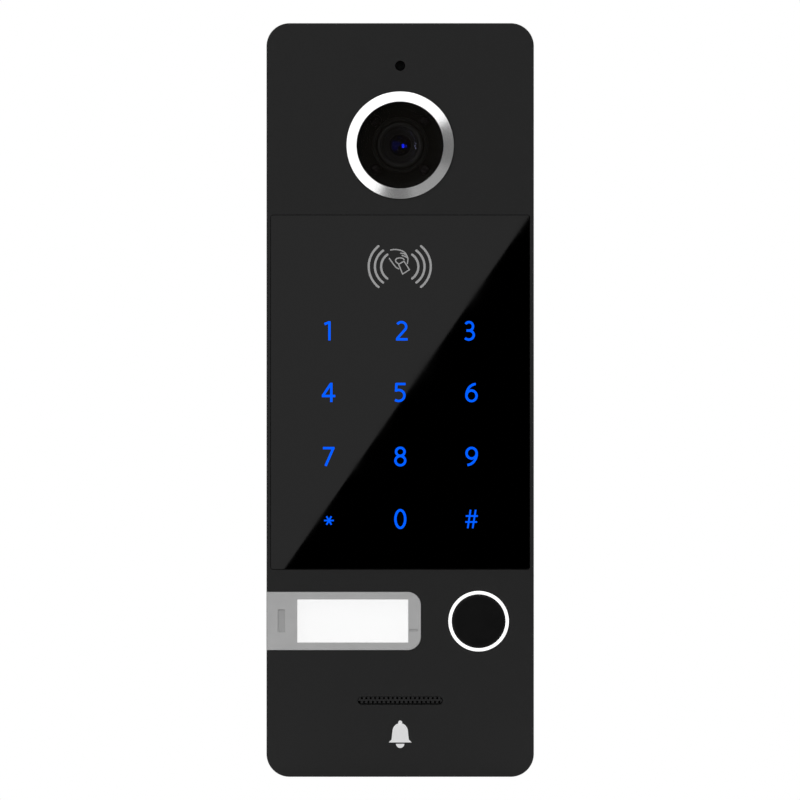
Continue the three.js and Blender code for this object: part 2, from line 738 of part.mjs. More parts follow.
const housingSeal = frameGasket(55.9, 165.6, 3.2, 1.8, FACE + FIT, HOUSING.front - FIT);
piece("rear_housing", rearHousing(), FINISH.blackPlastic);
piece("housing_gasket", housingSeal, FINISH.silicone);
HOUSING_SCREWS.forEach(({ x, y }, i) => {
  const screw = panScrew(2.3, 1.15, 21.5, 19.7, 4.6);
  const mesh = piece(`housing_screw_${i + 1}`, screw, FINISH.zincSteel);
  mesh.position.set(x, y, 0);
});

// Rubber grommet that grips the back wall between two flanges.
const grommetProfile = [
  [CABLE.bore, 19.2],
  [CABLE.flange, 19.2],
  [CABLE.flange, BACK_WALL.front - FIT],
  [CABLE.hole - FIT, BACK_WALL.front - FIT],
  [CABLE.hole - FIT, BACK_WALL.back + FIT],
  [CABLE.flange, BACK_WALL.back + FIT],
  [CABLE.flange, 24.2],
  [CABLE.bore, 24.2],
];
const grommet = piece("cable_grommet", turnedRing(grommetProfile, 24), FINISH.rubber);
grommet.position.set(0, CABLE.y, 0);

// ---------------------------------------------------------------- wall bracket

// Steel sheet with two hooks at the top and a flange for the lock screw at the bottom.
function wallBracket() {
  const { width, top, bottom, front, sheet } = BRACKET;
  const wall = OVERALL_DEPTH;
  const plate = slab(roundedRect(width, top - bottom, 3, 0, (top + bottom) / 2), front, wall);
  const hooks = [-HOOK.x, HOOK.x].flatMap((x) => [
    rising(x, HOOK.width, top - sheet, top, HOOK.front, front + 0.5),
    rising(x, HOOK.width, top - sheet, HOOK.top, HOOK.front, HOOK.back),
  ]);
  const flange = rising(0, LOCK.flange, bottom - sheet, bottom + 0.01, 15.5, wall);
  const threadedHole = new THREE.CylinderGeometry(LOCK.radius + FIT, LOCK.radius + FIT, 6, 16);
  const through = (shape) => slab(shape, front - PAST, wall + PAST);
  const slots = [WALL_SLOT.y, -WALL_SLOT.y].map((y) =>
    through(roundedRect(WALL_SLOT.width, WALL_SLOT.height, WALL_SLOT.width / 2, 0, y)),
  );
  const holes = [-SPARE_HOLE.x, SPARE_HOLE.x].map((x) =>
    bar(SPARE_HOLE.radius, front - PAST, wall + PAST, x, SPARE_HOLE.y, 12),
  );
  return cut(
    join(plate, ...hooks, flange),
    threadedHole.translate(0, bottom, -LOCK.depth),
    through(roundedRect(CABLE_WINDOW.width, CABLE_WINDOW.height, 3, 0, CABLE.y)),
    ...slots,
    ...holes,
  );
}

// The lock screw stands upright, head down, below the housing.
function lockScrew() {
  const head = -HOUSING.height / 2 - 1.7;
  const profile = [
    [0, head],
    [2.5, head],
    [2.75, head + 0.3],
    [2.75, head + 1.6],
    [LOCK.radius, head + 1.6],
    [LOCK.radius, head + 9],
    [0, head + 9],
  ];
  const points = profile.map(([radius, y]) => new THREE.Vector2(radius, y));
  return new THREE.LatheGeometry(points, 16).translate(0, 0, -LOCK.depth);
}

piece("wall_bracket", wallBracket(), FINISH.zincSteel);
piece("wall_gasket", frameGasket(55.7, 165.4, 3.2, 1.5, 25.3, OVERALL_DEPTH), FINISH.foam);
piece("lock_screw", lockScrew(), FINISH.zincSteel);

export default intercom;
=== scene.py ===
import math

import bmesh
import bpy
from mathutils import Matrix, Vector


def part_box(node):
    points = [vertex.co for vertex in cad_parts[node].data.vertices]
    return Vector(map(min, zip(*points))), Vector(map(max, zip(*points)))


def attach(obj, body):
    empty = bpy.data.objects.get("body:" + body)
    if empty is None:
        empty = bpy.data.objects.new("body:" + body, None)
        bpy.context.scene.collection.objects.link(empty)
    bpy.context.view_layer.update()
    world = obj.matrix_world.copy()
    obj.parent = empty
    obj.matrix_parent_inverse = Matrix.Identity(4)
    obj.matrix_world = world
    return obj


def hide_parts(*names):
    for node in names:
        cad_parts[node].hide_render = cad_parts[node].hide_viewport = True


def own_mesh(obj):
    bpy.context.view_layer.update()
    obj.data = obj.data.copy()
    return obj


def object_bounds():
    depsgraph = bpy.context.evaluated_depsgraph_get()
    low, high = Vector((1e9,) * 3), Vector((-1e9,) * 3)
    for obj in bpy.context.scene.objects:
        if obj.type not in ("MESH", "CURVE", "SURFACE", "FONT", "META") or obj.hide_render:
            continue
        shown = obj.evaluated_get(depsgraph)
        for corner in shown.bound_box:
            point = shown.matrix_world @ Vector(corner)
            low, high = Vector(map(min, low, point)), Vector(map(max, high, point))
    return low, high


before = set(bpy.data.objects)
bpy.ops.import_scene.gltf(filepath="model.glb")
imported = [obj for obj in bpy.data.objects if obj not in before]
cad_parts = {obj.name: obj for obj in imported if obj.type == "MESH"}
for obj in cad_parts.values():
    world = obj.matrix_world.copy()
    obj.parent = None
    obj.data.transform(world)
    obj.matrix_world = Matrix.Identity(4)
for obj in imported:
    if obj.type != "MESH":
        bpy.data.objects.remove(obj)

cad_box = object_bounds()

# ---------------------------------------------------------------- frame of the panel
# Shapes are drawn in millimetres in the panel's own frame: x to the right, y up and z out
# of the front face. A depth is counted from the front face towards the wall.

MM = 0.001
FACE_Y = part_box("front_panel")[0].y
UPRIGHT = Matrix.Translation((0, FACE_Y, 0)) @ Matrix.Rotation(math.pi / 2, 4, "X") @ Matrix.Scale(MM, 4)


class Extent:
    """A CAD node's box, in the panel's frame."""

    def __init__(self, node):
        low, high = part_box(node)
        self.left, self.right = low.x / MM, high.x / MM
        self.bottom, self.top = low.z / MM, high.z / MM
        self.near, self.far = (low.y - FACE_Y) / MM, (high.y - FACE_Y) / MM
        self.width, self.height = self.right - self.left, self.top - self.bottom
        self.x, self.y = (self.left + self.right) / 2, (self.bottom + self.top) / 2
        self.radius = max(self.width, self.height) / 2


PANEL = Extent("front_panel")
GLASS = Extent("touch_glass")
RING = Extent("camera_bezel")
COVER = Extent("nameplate_cover")
PLATE_WINDOW = Extent("nameplate_window")
CARD = Extent("name_label")
CAP = Extent("call_button_cap")
LIGHT_RING = Extent("call_button_ring")
GRILLE = Extent("speaker_grille")
BOOT = Extent("microphone_boot")
HOUSING = Extent("rear_housing")
BRACKET = Extent("wall_bracket")
WALL = BRACKET.far

CORNER = 5.2  # the front panel's corner radius
SKIRT_WALL = 1.8
FACE = 3.6  # thickness of the front panel's face
GAP = 0.1  # clearance round the glass, the nameplate and the button
BARREL = 10.75  # radius of the camera ring's threaded barrel
RING_BORE = 9.8  # radius of the camera ring's opening
MIC_HOLE = 1.15
BUTTON_HOLE = 6.96
RAIL, RAIL_RIM = 0.7, 0.75  # how far the nameplate's rails stand out at its end and its sides
SLOT = (19.2, 1.84)  # width and height of the loudspeaker's slot


# ---------------------------------------------------------------- outlines

def arc(x, y, radius_x, radius_y, start, end, steps=24):
    """Points along an ellipse's arc, with its angles in degrees."""
    angles = [math.radians(start + (end - start) * i / steps) for i in range(steps + 1)]
    return [(x + radius_x * math.cos(a), y + radius_y * math.sin(a)) for a in angles]


def circle(radius, x=0.0, y=0.0, steps=96):
    return arc(x, y, radius, radius, 0, 360, steps)[:-1]


def rounded_rect(width, height, radius, x=0.0, y=0.0, steps=12):
    right, top = width / 2 - radius, height / 2 - radius
    corners = [(right, -top, -90), (right, top, 0), (-right, top, 90), (-right, -top, 180)]
    return [p for cx, cy, a in corners for p in arc(x + cx, y + cy, radius, radius, a, a + 90, steps)]


def box_outline(left, right, bottom, top):
    return [(left, bottom), (right, bottom), (right, top), (left, top)]


def tab(left, right, height, radius, y):
    """A rectangle whose right-hand corners alone are round."""
    low = arc(right - radius, y - height / 2 + radius, radius, radius, -90, 0, 16)
    high = arc(right - radius, y + height / 2 - radius, radius, radius, 0, 90, 16)
    return [(left, y + height / 2), (left, y - height / 2)] + low + high


def smooth_line(points, steps=8):
    """A curve through the points, with even tangents (Catmull-Rom)."""
    ends = [points[0], *points, points[-1]]
    line = []
    for four in zip(ends, ends[1:], ends[2:], ends[3:]):
        for i in range(steps):
            t = i / steps
            weights = (-t + 2 * t**2 - t**3, 2 - 5 * t**2 + 3 * t**3, t + 4 * t**2 - 3 * t**3, t**3 - t**2)
            line.append(tuple(sum(w * p[k] for w, p in zip(weights, four)) / 2 for k in (0, 1)))
    return line + [points[-1]]


def rounded(points, radius, closed=True, steps=5):
    """The outline with every corner rounded, as far as its sides leave room."""
    count = len(points)
    result = []
    for i, corner in enumerate(points):
        if not closed and i in (0, count - 1):
            result.append(corner)
            continue
        here = Vector(corner)
        before, after = Vector(points[i - 1]) - here, Vector(points[(i + 1) % count]) - here
        turn = math.pi - before.angle(after)
        reach = min(radius * math.tan(turn / 2), 0.45 * before.length, 0.45 * after.length)
        start, end = here + before.normalized() * reach, here + after.normalized() * reach
        for k in range(steps + 1):
            t = k / steps
            result.append(tuple(start * (1 - t) ** 2 + here * 2 * t * (1 - t) + end * t**2))
    return result


# ---------------------------------------------------------------- meshes

def new_object(name, bm):
    bmesh.ops.remove_doubles(bm, verts=bm.verts, dist=1e-5)
    bmesh.ops.recalc_face_normals(bm, faces=bm.faces)
    mesh = bpy.data.meshes.new(name)
    bm.to_mesh(mesh)
    bm.free()
    piece = bpy.data.objects.new(name, mesh)
    bpy.context.scene.collection.objects.link(piece)
    return piece


def prism(name, outline, near, far):
    """The outline pushed through from one depth to another."""
    bm = bmesh.new()
    front = [bm.verts.new((x, y, -near)) for x, y in outline]
    back = [bm.verts.new((x, y, -far)) for x, y in outline]
    bm.faces.new(front)
    bm.faces.new(reversed(back))
    for i, j in zip(range(len(front)), [*range(1, len(front)), 0]):
        bm.faces.new((front[i], back[i], back[j], front[j]))
    return new_object(name, bm)


def block(outline, near, far):
    """A prism that is joined to another piece or cut out of it."""
    return prism("block", outline, near, far)


def hoop(name, first, second, near, far):
    """The band between two outlines with as many points, pushed through."""
    bm = bmesh.new()
    rows = [[bm.verts.new((x, y, -depth)) for x, y in outline]
            for outline, depth in ((first, near), (second, near), (second, far), (first, far))]
    for a, b in zip(rows, [*rows[1:], rows[0]]):
        for i in range(len(first)):
            bm.faces.new((a[i - 1], a[i], b[i], b[i - 1]))
    return new_object(name, bm)


def turned(name, profile, steps=128):
    """A profile of (radius, depth) points turned about the depth axis. It starts and ends on
    the axis, or closes on itself."""
    bm = bmesh.new()
    on_axis = profile[0][0] < 1e-6
    rings = []
    for radius, depth in profile:
        if radius < 1e-6:
            rings.append([bm.verts.new((0, 0, -depth))] * steps)
        else:
            rings.append([bm.verts.new((x, y, -depth)) for x, y in circle(radius, steps=steps)])
    pairs = list(zip(rings, rings[1:])) + ([] if on_axis else [(rings[-1], rings[0])])
    for a, b in pairs:
        for i in range(steps):
            j = (i + 1) % steps
            corners = list(dict.fromkeys((a[i], a[j], b[j], b[i])))
            if len(corners) > 2:
                bm.faces.new(corners)
    return new_object(name, bm)


def stroke(name, line, width, near, far, round_ends=False):
    """A flat band of even width along a line, such as a pen stroke."""
    closed = (Vector(line[0]) - Vector(line[-1])).length < 1e-6
    points = [Vector(p) for p in (line[:-1] if closed else line)]
    count = len(points)
    left, right = [], []
    for i, here in enumerate(points):
        before = points[i - 1] if closed or i else here
        after = points[(i + 1) % count] if closed or i < count - 1 else here
        along = (after - before).normalized()
        across = Vector((-along.y, along.x)) * width / 2
        left.append(here + across)
        right.append(here - across)
    if closed:
        return hoop(name, left, right, near, far)
    end_cap, start_cap = [], []
    if round_ends:
        for cap, at, edge in ((end_cap, points[-1], right[-1]), (start_cap, points[0], left[0])):
            start = math.degrees(math.atan2(edge.y - at.y, edge.x - at.x))
            cap += arc(at.x, at.y, width / 2, width / 2, start, start + 180, 10)[1:-1]
    return prism(name, [*right, *end_cap, *reversed(left), *start_cap], near, far)


def settle(piece):
    """Applies the piece's modifiers to its mesh."""
    depsgraph = bpy.context.evaluated_depsgraph_get()
    mesh = bpy.data.meshes.new_from_object(piece.evaluated_get(depsgraph), depsgraph=depsgraph)
    piece.modifiers.clear()
    piece.data = mesh


def joined(name, piece, *others, how="UNION"):
    """The piece with the others joined to it or cut out of it."""
    for other in others:
        boolean = piece.modifiers.new("boolean", "BOOLEAN")
        boolean.operation = how
        boolean.solver = "EXACT"
        boolean.object = other
    settle(piece)
    for other in others:
        bpy.data.objects.remove(other)
    piece.name = name
    return piece


def carved(piece, *tools):
    return joined(piece.name, piece, *tools, how="DIFFERENCE")


def softened(piece, width, segments=3, angle=35):
    """Rounds the piece's edges."""
    bevel = piece.modifiers.new("edges", "BEVEL")
    bevel.width = width
    bevel.segments = segments
    bevel.limit_method = "ANGLE"
    bevel.angle_limit = math.radians(angle)
    settle(piece)
    return piece


def place(piece, look, body="panel", replaces=(), at=(0, 0)):
    """Puts a piece drawn about the point at into the frame, and gives it its finish and its body."""
    centre = Vector((at[0] * MM, 0, at[1] * MM))
    piece.data.transform(UPRIGHT)
    piece.location = centre
    piece.data.shade_smooth()
    piece.data.set_sharp_from_angle(angle=math.radians(40))
    weights = piece.modifiers.new("normals", "WEIGHTED_NORMAL")
    weights.keep_sharp = True
    piece.data.materials.clear()
    piece.data.materials.append(look)
    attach(piece, body)
    if replaces:
        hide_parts(*replaces)
    return piece


# ---------------------------------------------------------------- materials

class Finish:
    """A Principled material. Uniform values sit on the shader's own sockets, and textures are
    in millimetres of the piece's own coordinates."""

    def __init__(self, name, **values):
        self.material = bpy.data.materials.new(name)
        self.material.use_nodes = True
        self.tree = self.material.node_tree
        self.shader = self.tree.nodes["Principled BSDF"]
        for socket, value in values.items():
            self.shader.inputs[socket.replace("_", " ")].default_value = value
        scale = self.node("ShaderNodeVectorMath", operation="SCALE")
        scale.inputs["Scale"].default_value = 1 / MM
        self.link(self.node("ShaderNodeTexCoord").outputs["Object"], scale.inputs[0])
        self.place = scale.outputs[0]
        self.bumps = None

    def node(self, kind, **settings):
        made = self.tree.nodes.new(kind)
        for key, value in settings.items():
            setattr(made, key, value)
        return made

    def link(self, source, target):
        self.tree.links.new(source, target)

    def noise(self, size, detail=2.0, stretch=None, roughness=0.5):
        """Noise of about that grain size in millimetres, from 0 to 1."""
        noise = self.node("ShaderNodeTexNoise")
        noise.inputs["Scale"].default_value = 1 / size
        noise.inputs["Detail"].default_value = detail
        noise.inputs["Roughness"].default_value = roughness
        source = self.place
        if stretch:
            mapping = self.node("ShaderNodeMapping")
            mapping.inputs["Scale"].default_value = stretch
            self.link(self.place, mapping.inputs["Vector"])
            source = mapping.outputs[0]
        self.link(source, noise.inputs["Vector"])
        return noise.outputs["Fac"]

    def cells(self, size):
        cells = self.node("ShaderNodeTexVoronoi")
        cells.inputs["Scale"].default_value = 1 / size
        self.link(self.place, cells.inputs["Vector"])
        return cells.outputs["Distance"]

    def ramp(self, source, low, high, start=0.3, end=0.7):
        """Maps the source's start to end onto low to high."""
        ramp = self.node("ShaderNodeMapRange")
        for name, value in (("From Min", start), ("From Max", end), ("To Min", low), ("To Max", high)):
            ramp.inputs[name].default_value = value
        self.link(source, ramp.inputs["Value"])
        return ramp.outputs["Result"]

    def mixed(self, source, first, second, socket="Base Color"):
        """A colour between two, by the source."""
        mix = self.node("ShaderNodeMix", data_type="RGBA")
        self.link(source, mix.inputs["Factor"])
        for name, color in (("A", first), ("B", second)):
            next(s for s in mix.inputs if s.name == name and s.type == "RGBA").default_value = (*color, 1)
        self.link(next(s for s in mix.outputs if s.type == "RGBA"), self.shader.inputs[socket])
        return self

    def rough(self, source, low, high):
        self.link(self.ramp(source, low, high), self.shader.inputs["Roughness"])
        return self

    def relief(self, source, height):
        """Adds a relief of that height in millimetres."""
        bump = self.node("ShaderNodeBump")
        bump.inputs["Distance"].default_value = height * MM
        bump.inputs["Strength"].default_value = 1.0
        self.link(source, bump.inputs["Height"])
        if self.bumps:
            self.link(self.bumps, bump.inputs["Normal"])
        self.bumps = bump.outputs["Normal"]
        self.link(self.bumps, self.shader.inputs["Normal"])
        return self


def grey(value):
    return (value, value, value)


def moulded(name, dark, light, roughness=0.5, grain=0.25, height=0.004, **values):
    """Injection-moulded plastic or rubber: a fine spark-eroded texture and a slight mottling."""
    look = Finish(name, **values)
    fine = look.noise(grain, 3)
    look.mixed(look.ramp(look.noise(4.0, 4), 0, 1), dark, light)
    look.rough(look.noise(grain * 4, 2), roughness - 0.06, roughness + 0.06)
    look.relief(fine, height)
    look.relief(look.noise(6.0, 1), 0.006)
    return look.material


def powder_coat():
    """Fine matt powder coat: small soft bumps, with a painted highlight on their tops and painted shade in
    the pits between them.
    """
    look = Finish("powder_coat", Specular_IOR_Level=0.38)
    bump_height_and_painted_shade = look.cells(0.16)
    # The colour follows the bumps' height: a painted highlight on their tops and painted shade in the pits.
    look.mixed(look.ramp(bump_height_and_painted_shade, 0, 1, 0.0, 0.6), grey(0.0155), grey(0.02))
    look.rough(look.noise(0.5, 3), 0.5, 0.6)
    look.relief(bump_height_and_painted_shade, 0.006)
    look.relief(look.noise(0.9, 3), 0.004)
    return look.material


def black_glass():
    """Glass with a black back: deep gloss, with the faintest unevenness of a wiped surface."""
    look = Finish("black_glass", IOR=1.5)
    look.mixed(look.ramp(look.noise(12, 3), 0, 1), grey(0.00002), grey(0.00006))
    look.rough(look.noise(9, 5), 0.012, 0.03)
    return look.material


def lit_legend():
    """A legend lit blue from behind, a little unevenly."""
    look = Finish("lit_legend", Roughness=0.6, Specular_IOR_Level=0.0, Emission_Strength=1.0)
    look.mixed(look.ramp(look.noise(0.8, 2), 0, 1), (0.0, 0.02, 0.2), (0.0, 0.03, 0.25))
    dim, bright = (0.0008, 0.0995, 0.96), (0.0010, 0.11, 1.0)
    look.mixed(look.ramp(look.noise(3.0, 2), 0, 1), dim, bright, "Emission Color")
    return look.material


def printed_legend(name, dark, light, painted_glow=0.0):
    """Screen-printed ink, with its slightly uneven edge of coverage, and a painted glow of the given
    strength that makes the ink give light of its own.
    """
    # A painted glow: the ink's emission stands in for light falling on it.
    look = Finish(name, Roughness=0.55, Specular_IOR_Level=0.2, Emission_Strength=painted_glow)
    look.mixed(look.ramp(look.noise(0.18, 3), 0, 1), dark, light)
    look.mixed(look.ramp(look.noise(0.18, 3), 0, 1), dark, light, "Emission Color")
    look.relief(look.noise(0.12, 2), 0.002)
    return look.material


def radius_about_axis(look):
    """Distance from the piece's own depth axis, in millimetres."""
    split = look.node("ShaderNodeSeparateXYZ")
    look.link(look.place, split.inputs[0])
    flat = look.node("ShaderNodeCombineXYZ")
    look.link(split.outputs["X"], flat.inputs["X"])
    look.link(split.outputs["Z"], flat.inputs["Y"])
    length = look.node("ShaderNodeVectorMath", operation="LENGTH")
    look.link(flat.outputs[0], length.inputs[0])
    return length.outputs["Value"]


def lathe_lines(look, pitch):
    """Fine uneven rings, as a lathe leaves them."""
    noise = look.node("ShaderNodeTexNoise", noise_dimensions="1D")
    noise.inputs["Scale"].default_value = 1 / pitch
    noise.inputs["Detail"].default_value = 4
    look.link(radius_about_axis(look), noise.inputs["W"])
    return noise.outputs["Fac"]


def turned_metal(name, dark, light, roughness, anisotropy=0.6, pitch=0.05):
    look = Finish(name, Metallic=1.0, Anisotropic=anisotropy)
    lines = lathe_lines(look, pitch)
    look.mixed(look.ramp(lines, 0, 1), dark, light)
    look.rough(lines, roughness - 0.03, roughness + 0.05)
    look.relief(lines, 0.0006)
    tangent = look.node("ShaderNodeTangent", direction_type="RADIAL", axis="Y")
    look.link(tangent.outputs[0], look.shader.inputs["Tangent"])
    return look.material


def plated_steel():
    """Zinc plate: a pale mottled metal with fine rolling marks."""
    look = Finish("plated_steel", Metallic=1.0)
    mottling = look.noise(3.5, 5, roughness=0.6)
    look.mixed(look.ramp(mottling, 0, 1), (0.42, 0.43, 0.45), (0.6, 0.61, 0.62))
    look.rough(look.noise(1.2, 4), 0.26, 0.44)
    look.relief(look.noise(0.3, 3, stretch=(1, 1, 0.06)), 0.0015)
    return look.material


def window_glass(name, tint, alpha, roughness=0.02, **values):
    """Thin tinted glass or clear plastic that the pieces behind show through."""
    look = Finish(name, Alpha=alpha, IOR=1.5, **values)
    look.mixed(look.ramp(look.noise(6, 3), 0, 1), tint, tuple(0.92 * c for c in tint))
    look.rough(look.noise(5, 4), roughness * 0.6, roughness * 1.6)
    return look.material


def lens_coating(name, base, **values):
    """A dark lens element whose coating tints what it mirrors."""
    look = Finish(name, IOR=1.6, **values)
    look.mixed(look.ramp(look.noise(2.5, 2), 0, 1), base, tuple(0.8 * c for c in base))
    look.rough(look.noise(3, 3), 0.01, 0.03)
    return look.material


def circuit_board():
    """Green solder resist with fine copper tracks showing under it."""
    look = Finish("circuit_board", Specular_IOR_Level=0.5)
    tracks = look.node("ShaderNodeTexBrick", offset=0.5)
    tracks.inputs["Scale"].default_value = 1.0
    tracks.inputs["Mortar Size"].default_value = 0.07
    tracks.inputs["Brick Width"].default_value = 3.1
    tracks.inputs["Row Height"].default_value = 0.9
    turn = look.node("ShaderNodeMapping")
    turn.inputs["Rotation"].default_value = (math.pi / 2, 0, 0)
    look.link(look.place, turn.inputs["Vector"])
    look.link(turn.outputs[0], tracks.inputs["Vector"])
    look.mixed(tracks.outputs["Fac"], (0.008, 0.075, 0.028), (0.02, 0.16, 0.06))
    look.rough(look.noise(2, 3), 0.25, 0.4)
    look.relief(tracks.outputs["Fac"], 0.02)
    return look.material


def paper():
    """A plain white card, lit evenly from behind, with its fibres just showing."""
    look = Finish("paper", Roughness=0.9, Specular_IOR_Level=0.1, Emission_Strength=0.96)
    fibres = look.noise(0.35, 5, stretch=(1, 1, 3), roughness=0.65)
    look.mixed(look.ramp(fibres, 0, 1), grey(0.14), grey(0.18))
    look.mixed(look.ramp(fibres, 0, 1), grey(0.97), grey(1.0), "Emission Color")
    look.relief(fibres, 0.01)
    return look.material


def light_pipe():
    """White diffusing plastic that glows at its front end."""
    look = Finish("light_pipe", Emission_Strength=0.8)
    look.mixed(look.ramp(look.noise(2, 3), 0, 1), grey(0.8), grey(0.85))
    split = look.node("ShaderNodeSeparateXYZ")
    look.link(look.place, split.inputs[0])
    end = FACE_Y / MM + LIGHT_RING.near
    dark_from = look.ramp(split.outputs["Y"], 0, 1, end + 0.1, end + 0.2)
    look.mixed(dark_from, grey(1.0), grey(0.0), "Emission Color")
    look.rough(look.noise(0.5, 2), 0.25, 0.35)
    return look.material


LOOKS = {
    "coat": powder_coat(),
    "glass": black_glass(),
    "blue": lit_legend(),
    # Both inks carry a painted glow that brightens them.
    "ink": printed_legend("grey_ink", grey(0.36), grey(0.42), 0.15),
    "white_ink": printed_legend("white_ink", grey(0.72), grey(0.78), 0.34),
    "ring": turned_metal("ring_metal", grey(0.86), grey(0.95), 0.19),
    "steel": plated_steel(),
    "window": window_glass("camera_window_glass", (0.021, 0.0185, 0.015), 0.14, Specular_IOR_Level=0.1),
    "front_element": lens_coating(
        "front_element", (0.0006, 0.0006, 0.003),
        Alpha=0.15, Specular_IOR_Level=1.0, Specular_Tint=(0.5, 0.53, 1, 1),
    ),
    "inner_element": lens_coating("inner_element", (0.006, 0.018, 0.8), Metallic=1.0),
    "lens_black": moulded(
        "lens_black", grey(0.004), grey(0.006), 0.45, 0.15, 0.003, Specular_IOR_Level=0.25,
    ),
    "led": moulded(
        "led_epoxy", (0.003, 0.002, 0.003), (0.005, 0.003, 0.005), 0.3, 0.5, 0.001, Specular_IOR_Level=0.1,
    ),
    "shade": moulded("black_board", grey(0.002), grey(0.003), 0.7, Specular_IOR_Level=0.15),
    "rubber": moulded("rubber", grey(0.011), grey(0.017), 0.75, 0.2, 0.008),
    "foam": moulded("foam", grey(0.012), grey(0.022), 0.95, 0.35, 0.05),
    "housing": moulded("housing_plastic", grey(0.014), grey(0.019), 0.55, 0.3, 0.01),
    "black": moulded("black_plastic", grey(0.012), grey(0.016), 0.45),
    "button": moulded(
        "button_plastic", grey(0.0052), grey(0.0068), 0.5, 0.2, 0.003, Specular_IOR_Level=0.15,
    ),
    "cover": moulded("cover_plastic", grey(0.58), grey(0.61), 0.42, 0.2, 0.003),
    # Painted shade for the nameplate's finger recess and index groove.
    "painted_recess_shade": moulded("cover_recess_painted_shade", grey(0.46), grey(0.5), 0.5, 0.2, 0.003),
    "grille": moulded(
        "grille_plastic", grey(0.0172), grey(0.021), 0.6, 0.2, 0.004, Specular_IOR_Level=0.35,
    ),
    "clear": window_glass("clear_plastic", grey(0.9), 0.08, 0.03),
    "paper": paper(),
    "light_pipe": light_pipe(),
    "white": moulded("white_plastic", grey(0.72), grey(0.8), 0.4),
    "silicone": moulded("silicone", grey(0.42), grey(0.48), 0.6, Subsurface_Weight=0.1),
    "board": circuit_board(),
    "copper": turned_metal("copper_winding", (0.55, 0.25, 0.13), (0.75, 0.38, 0.2), 0.3, 0.3, 0.25),
    "film": moulded("amber_film", (0.35, 0.2, 0.05), (0.45, 0.27, 0.08), 0.3),
    "cone": moulded("cone_film", (0.25, 0.2, 0.14), (0.32, 0.27, 0.2), 0.5),
    "wire": moulded("wire_sleeve", (0.28, 0.01, 0.01), (0.36, 0.02, 0.015), 0.4),
}


# ---------------------------------------------------------------- front panel and glass

def blank_tray():
    """The panel's tray with its outer edges rounded, before anything is cut into it."""
    tray = prism("front_shell", rounded_rect(PANEL.width, PANEL.height, CORNER, steps=24), 0, PANEL.far)
    tray = softened(tray, 0.24, 3)
    inner_width, inner_height = PANEL.width - 2 * SKIRT_WALL, PANEL.height - 2 * SKIRT_WALL
    hollow = rounded_rect(inner_width, inner_height, CORNER - SKIRT_WALL)
    return carved(tray, block(hollow, FACE, 20))


def plate_cuts():
    """The nameplate's slot and the groove behind it for the rails, both open to the left."""
    open_left = PANEL.left - 5
    slot = tab(open_left, COVER.right - RAIL + GAP, COVER.height - 2 * RAIL_RIM + 2 * GAP, 3.1, COVER.y)
    groove = tab(open_left, COVER.right + 2 * GAP, COVER.height + 3 * GAP, 3.9, COVER.y)
    return [block(slot, -1, 1.7), block(groove, 1.6, COVER.far + GAP)]


def front_panel():
    glass_pocket = rounded_rect(GLASS.width + 2 * GAP, GLASS.height + 2 * GAP, 0.6, 0, GLASS.y, 6)
    grille_seat = rounded_rect(GRILLE.width + 2 * GAP, GRILLE.height + 2 * GAP, 1, 0, GRILLE.y)
    tools = [
        block(glass_pocket, -1, GLASS.far + 0.15),
        block(rounded_rect(52, GLASS.height - 3.4, 2, 0, GLASS.y), 1, 10),
        block(circle(BARREL + 0.15, 0, RING.y, 128), -1, 10),
        block(circle(MIC_HOLE, 0, BOOT.y, 48), -1, 10),
        block(box_outline(-24.2, 2.8, COVER.y - 4.8, COVER.y + 4.8), 2, 10),
        block(circle(BUTTON_HOLE, LIGHT_RING.x, LIGHT_RING.y, 128), -1, 10),
        block(rounded_rect(*SLOT, SLOT[1] / 2, 0, GRILLE.y, 16), -1, 10),
        block(grille_seat, 2.4, 10),
    ]
    return softened(carved(blank_tray(), *tools, *plate_cuts()), 0.07, 2)


place(front_panel(), LOOKS["coat"], replaces=["front_panel"])


def keypad_glass():
    slab = prism("keypad_glass", rounded_rect(GLASS.width, GLASS.height, 0.5, 0, GLASS.y, 8), 0, GLASS.far)
    return softened(slab, 0.08, 3)


glass = place(keypad_glass(), LOOKS["glass"], replaces=["touch_glass"])


# ---------------------------------------------------------------- legends

PEN = 0.54  # width of the digits' strokes
PEN_READER = 0.27
LEGEND_DEPTHS = (-0.02, 0.0)  # the legends stand this far out of the glass


def six():
    return [arc(-0.06, -0.75, 1.14, 1.19, 0, 360, 48), arc(1.0, -0.6, 2.2, 2.5, 93, 180)]


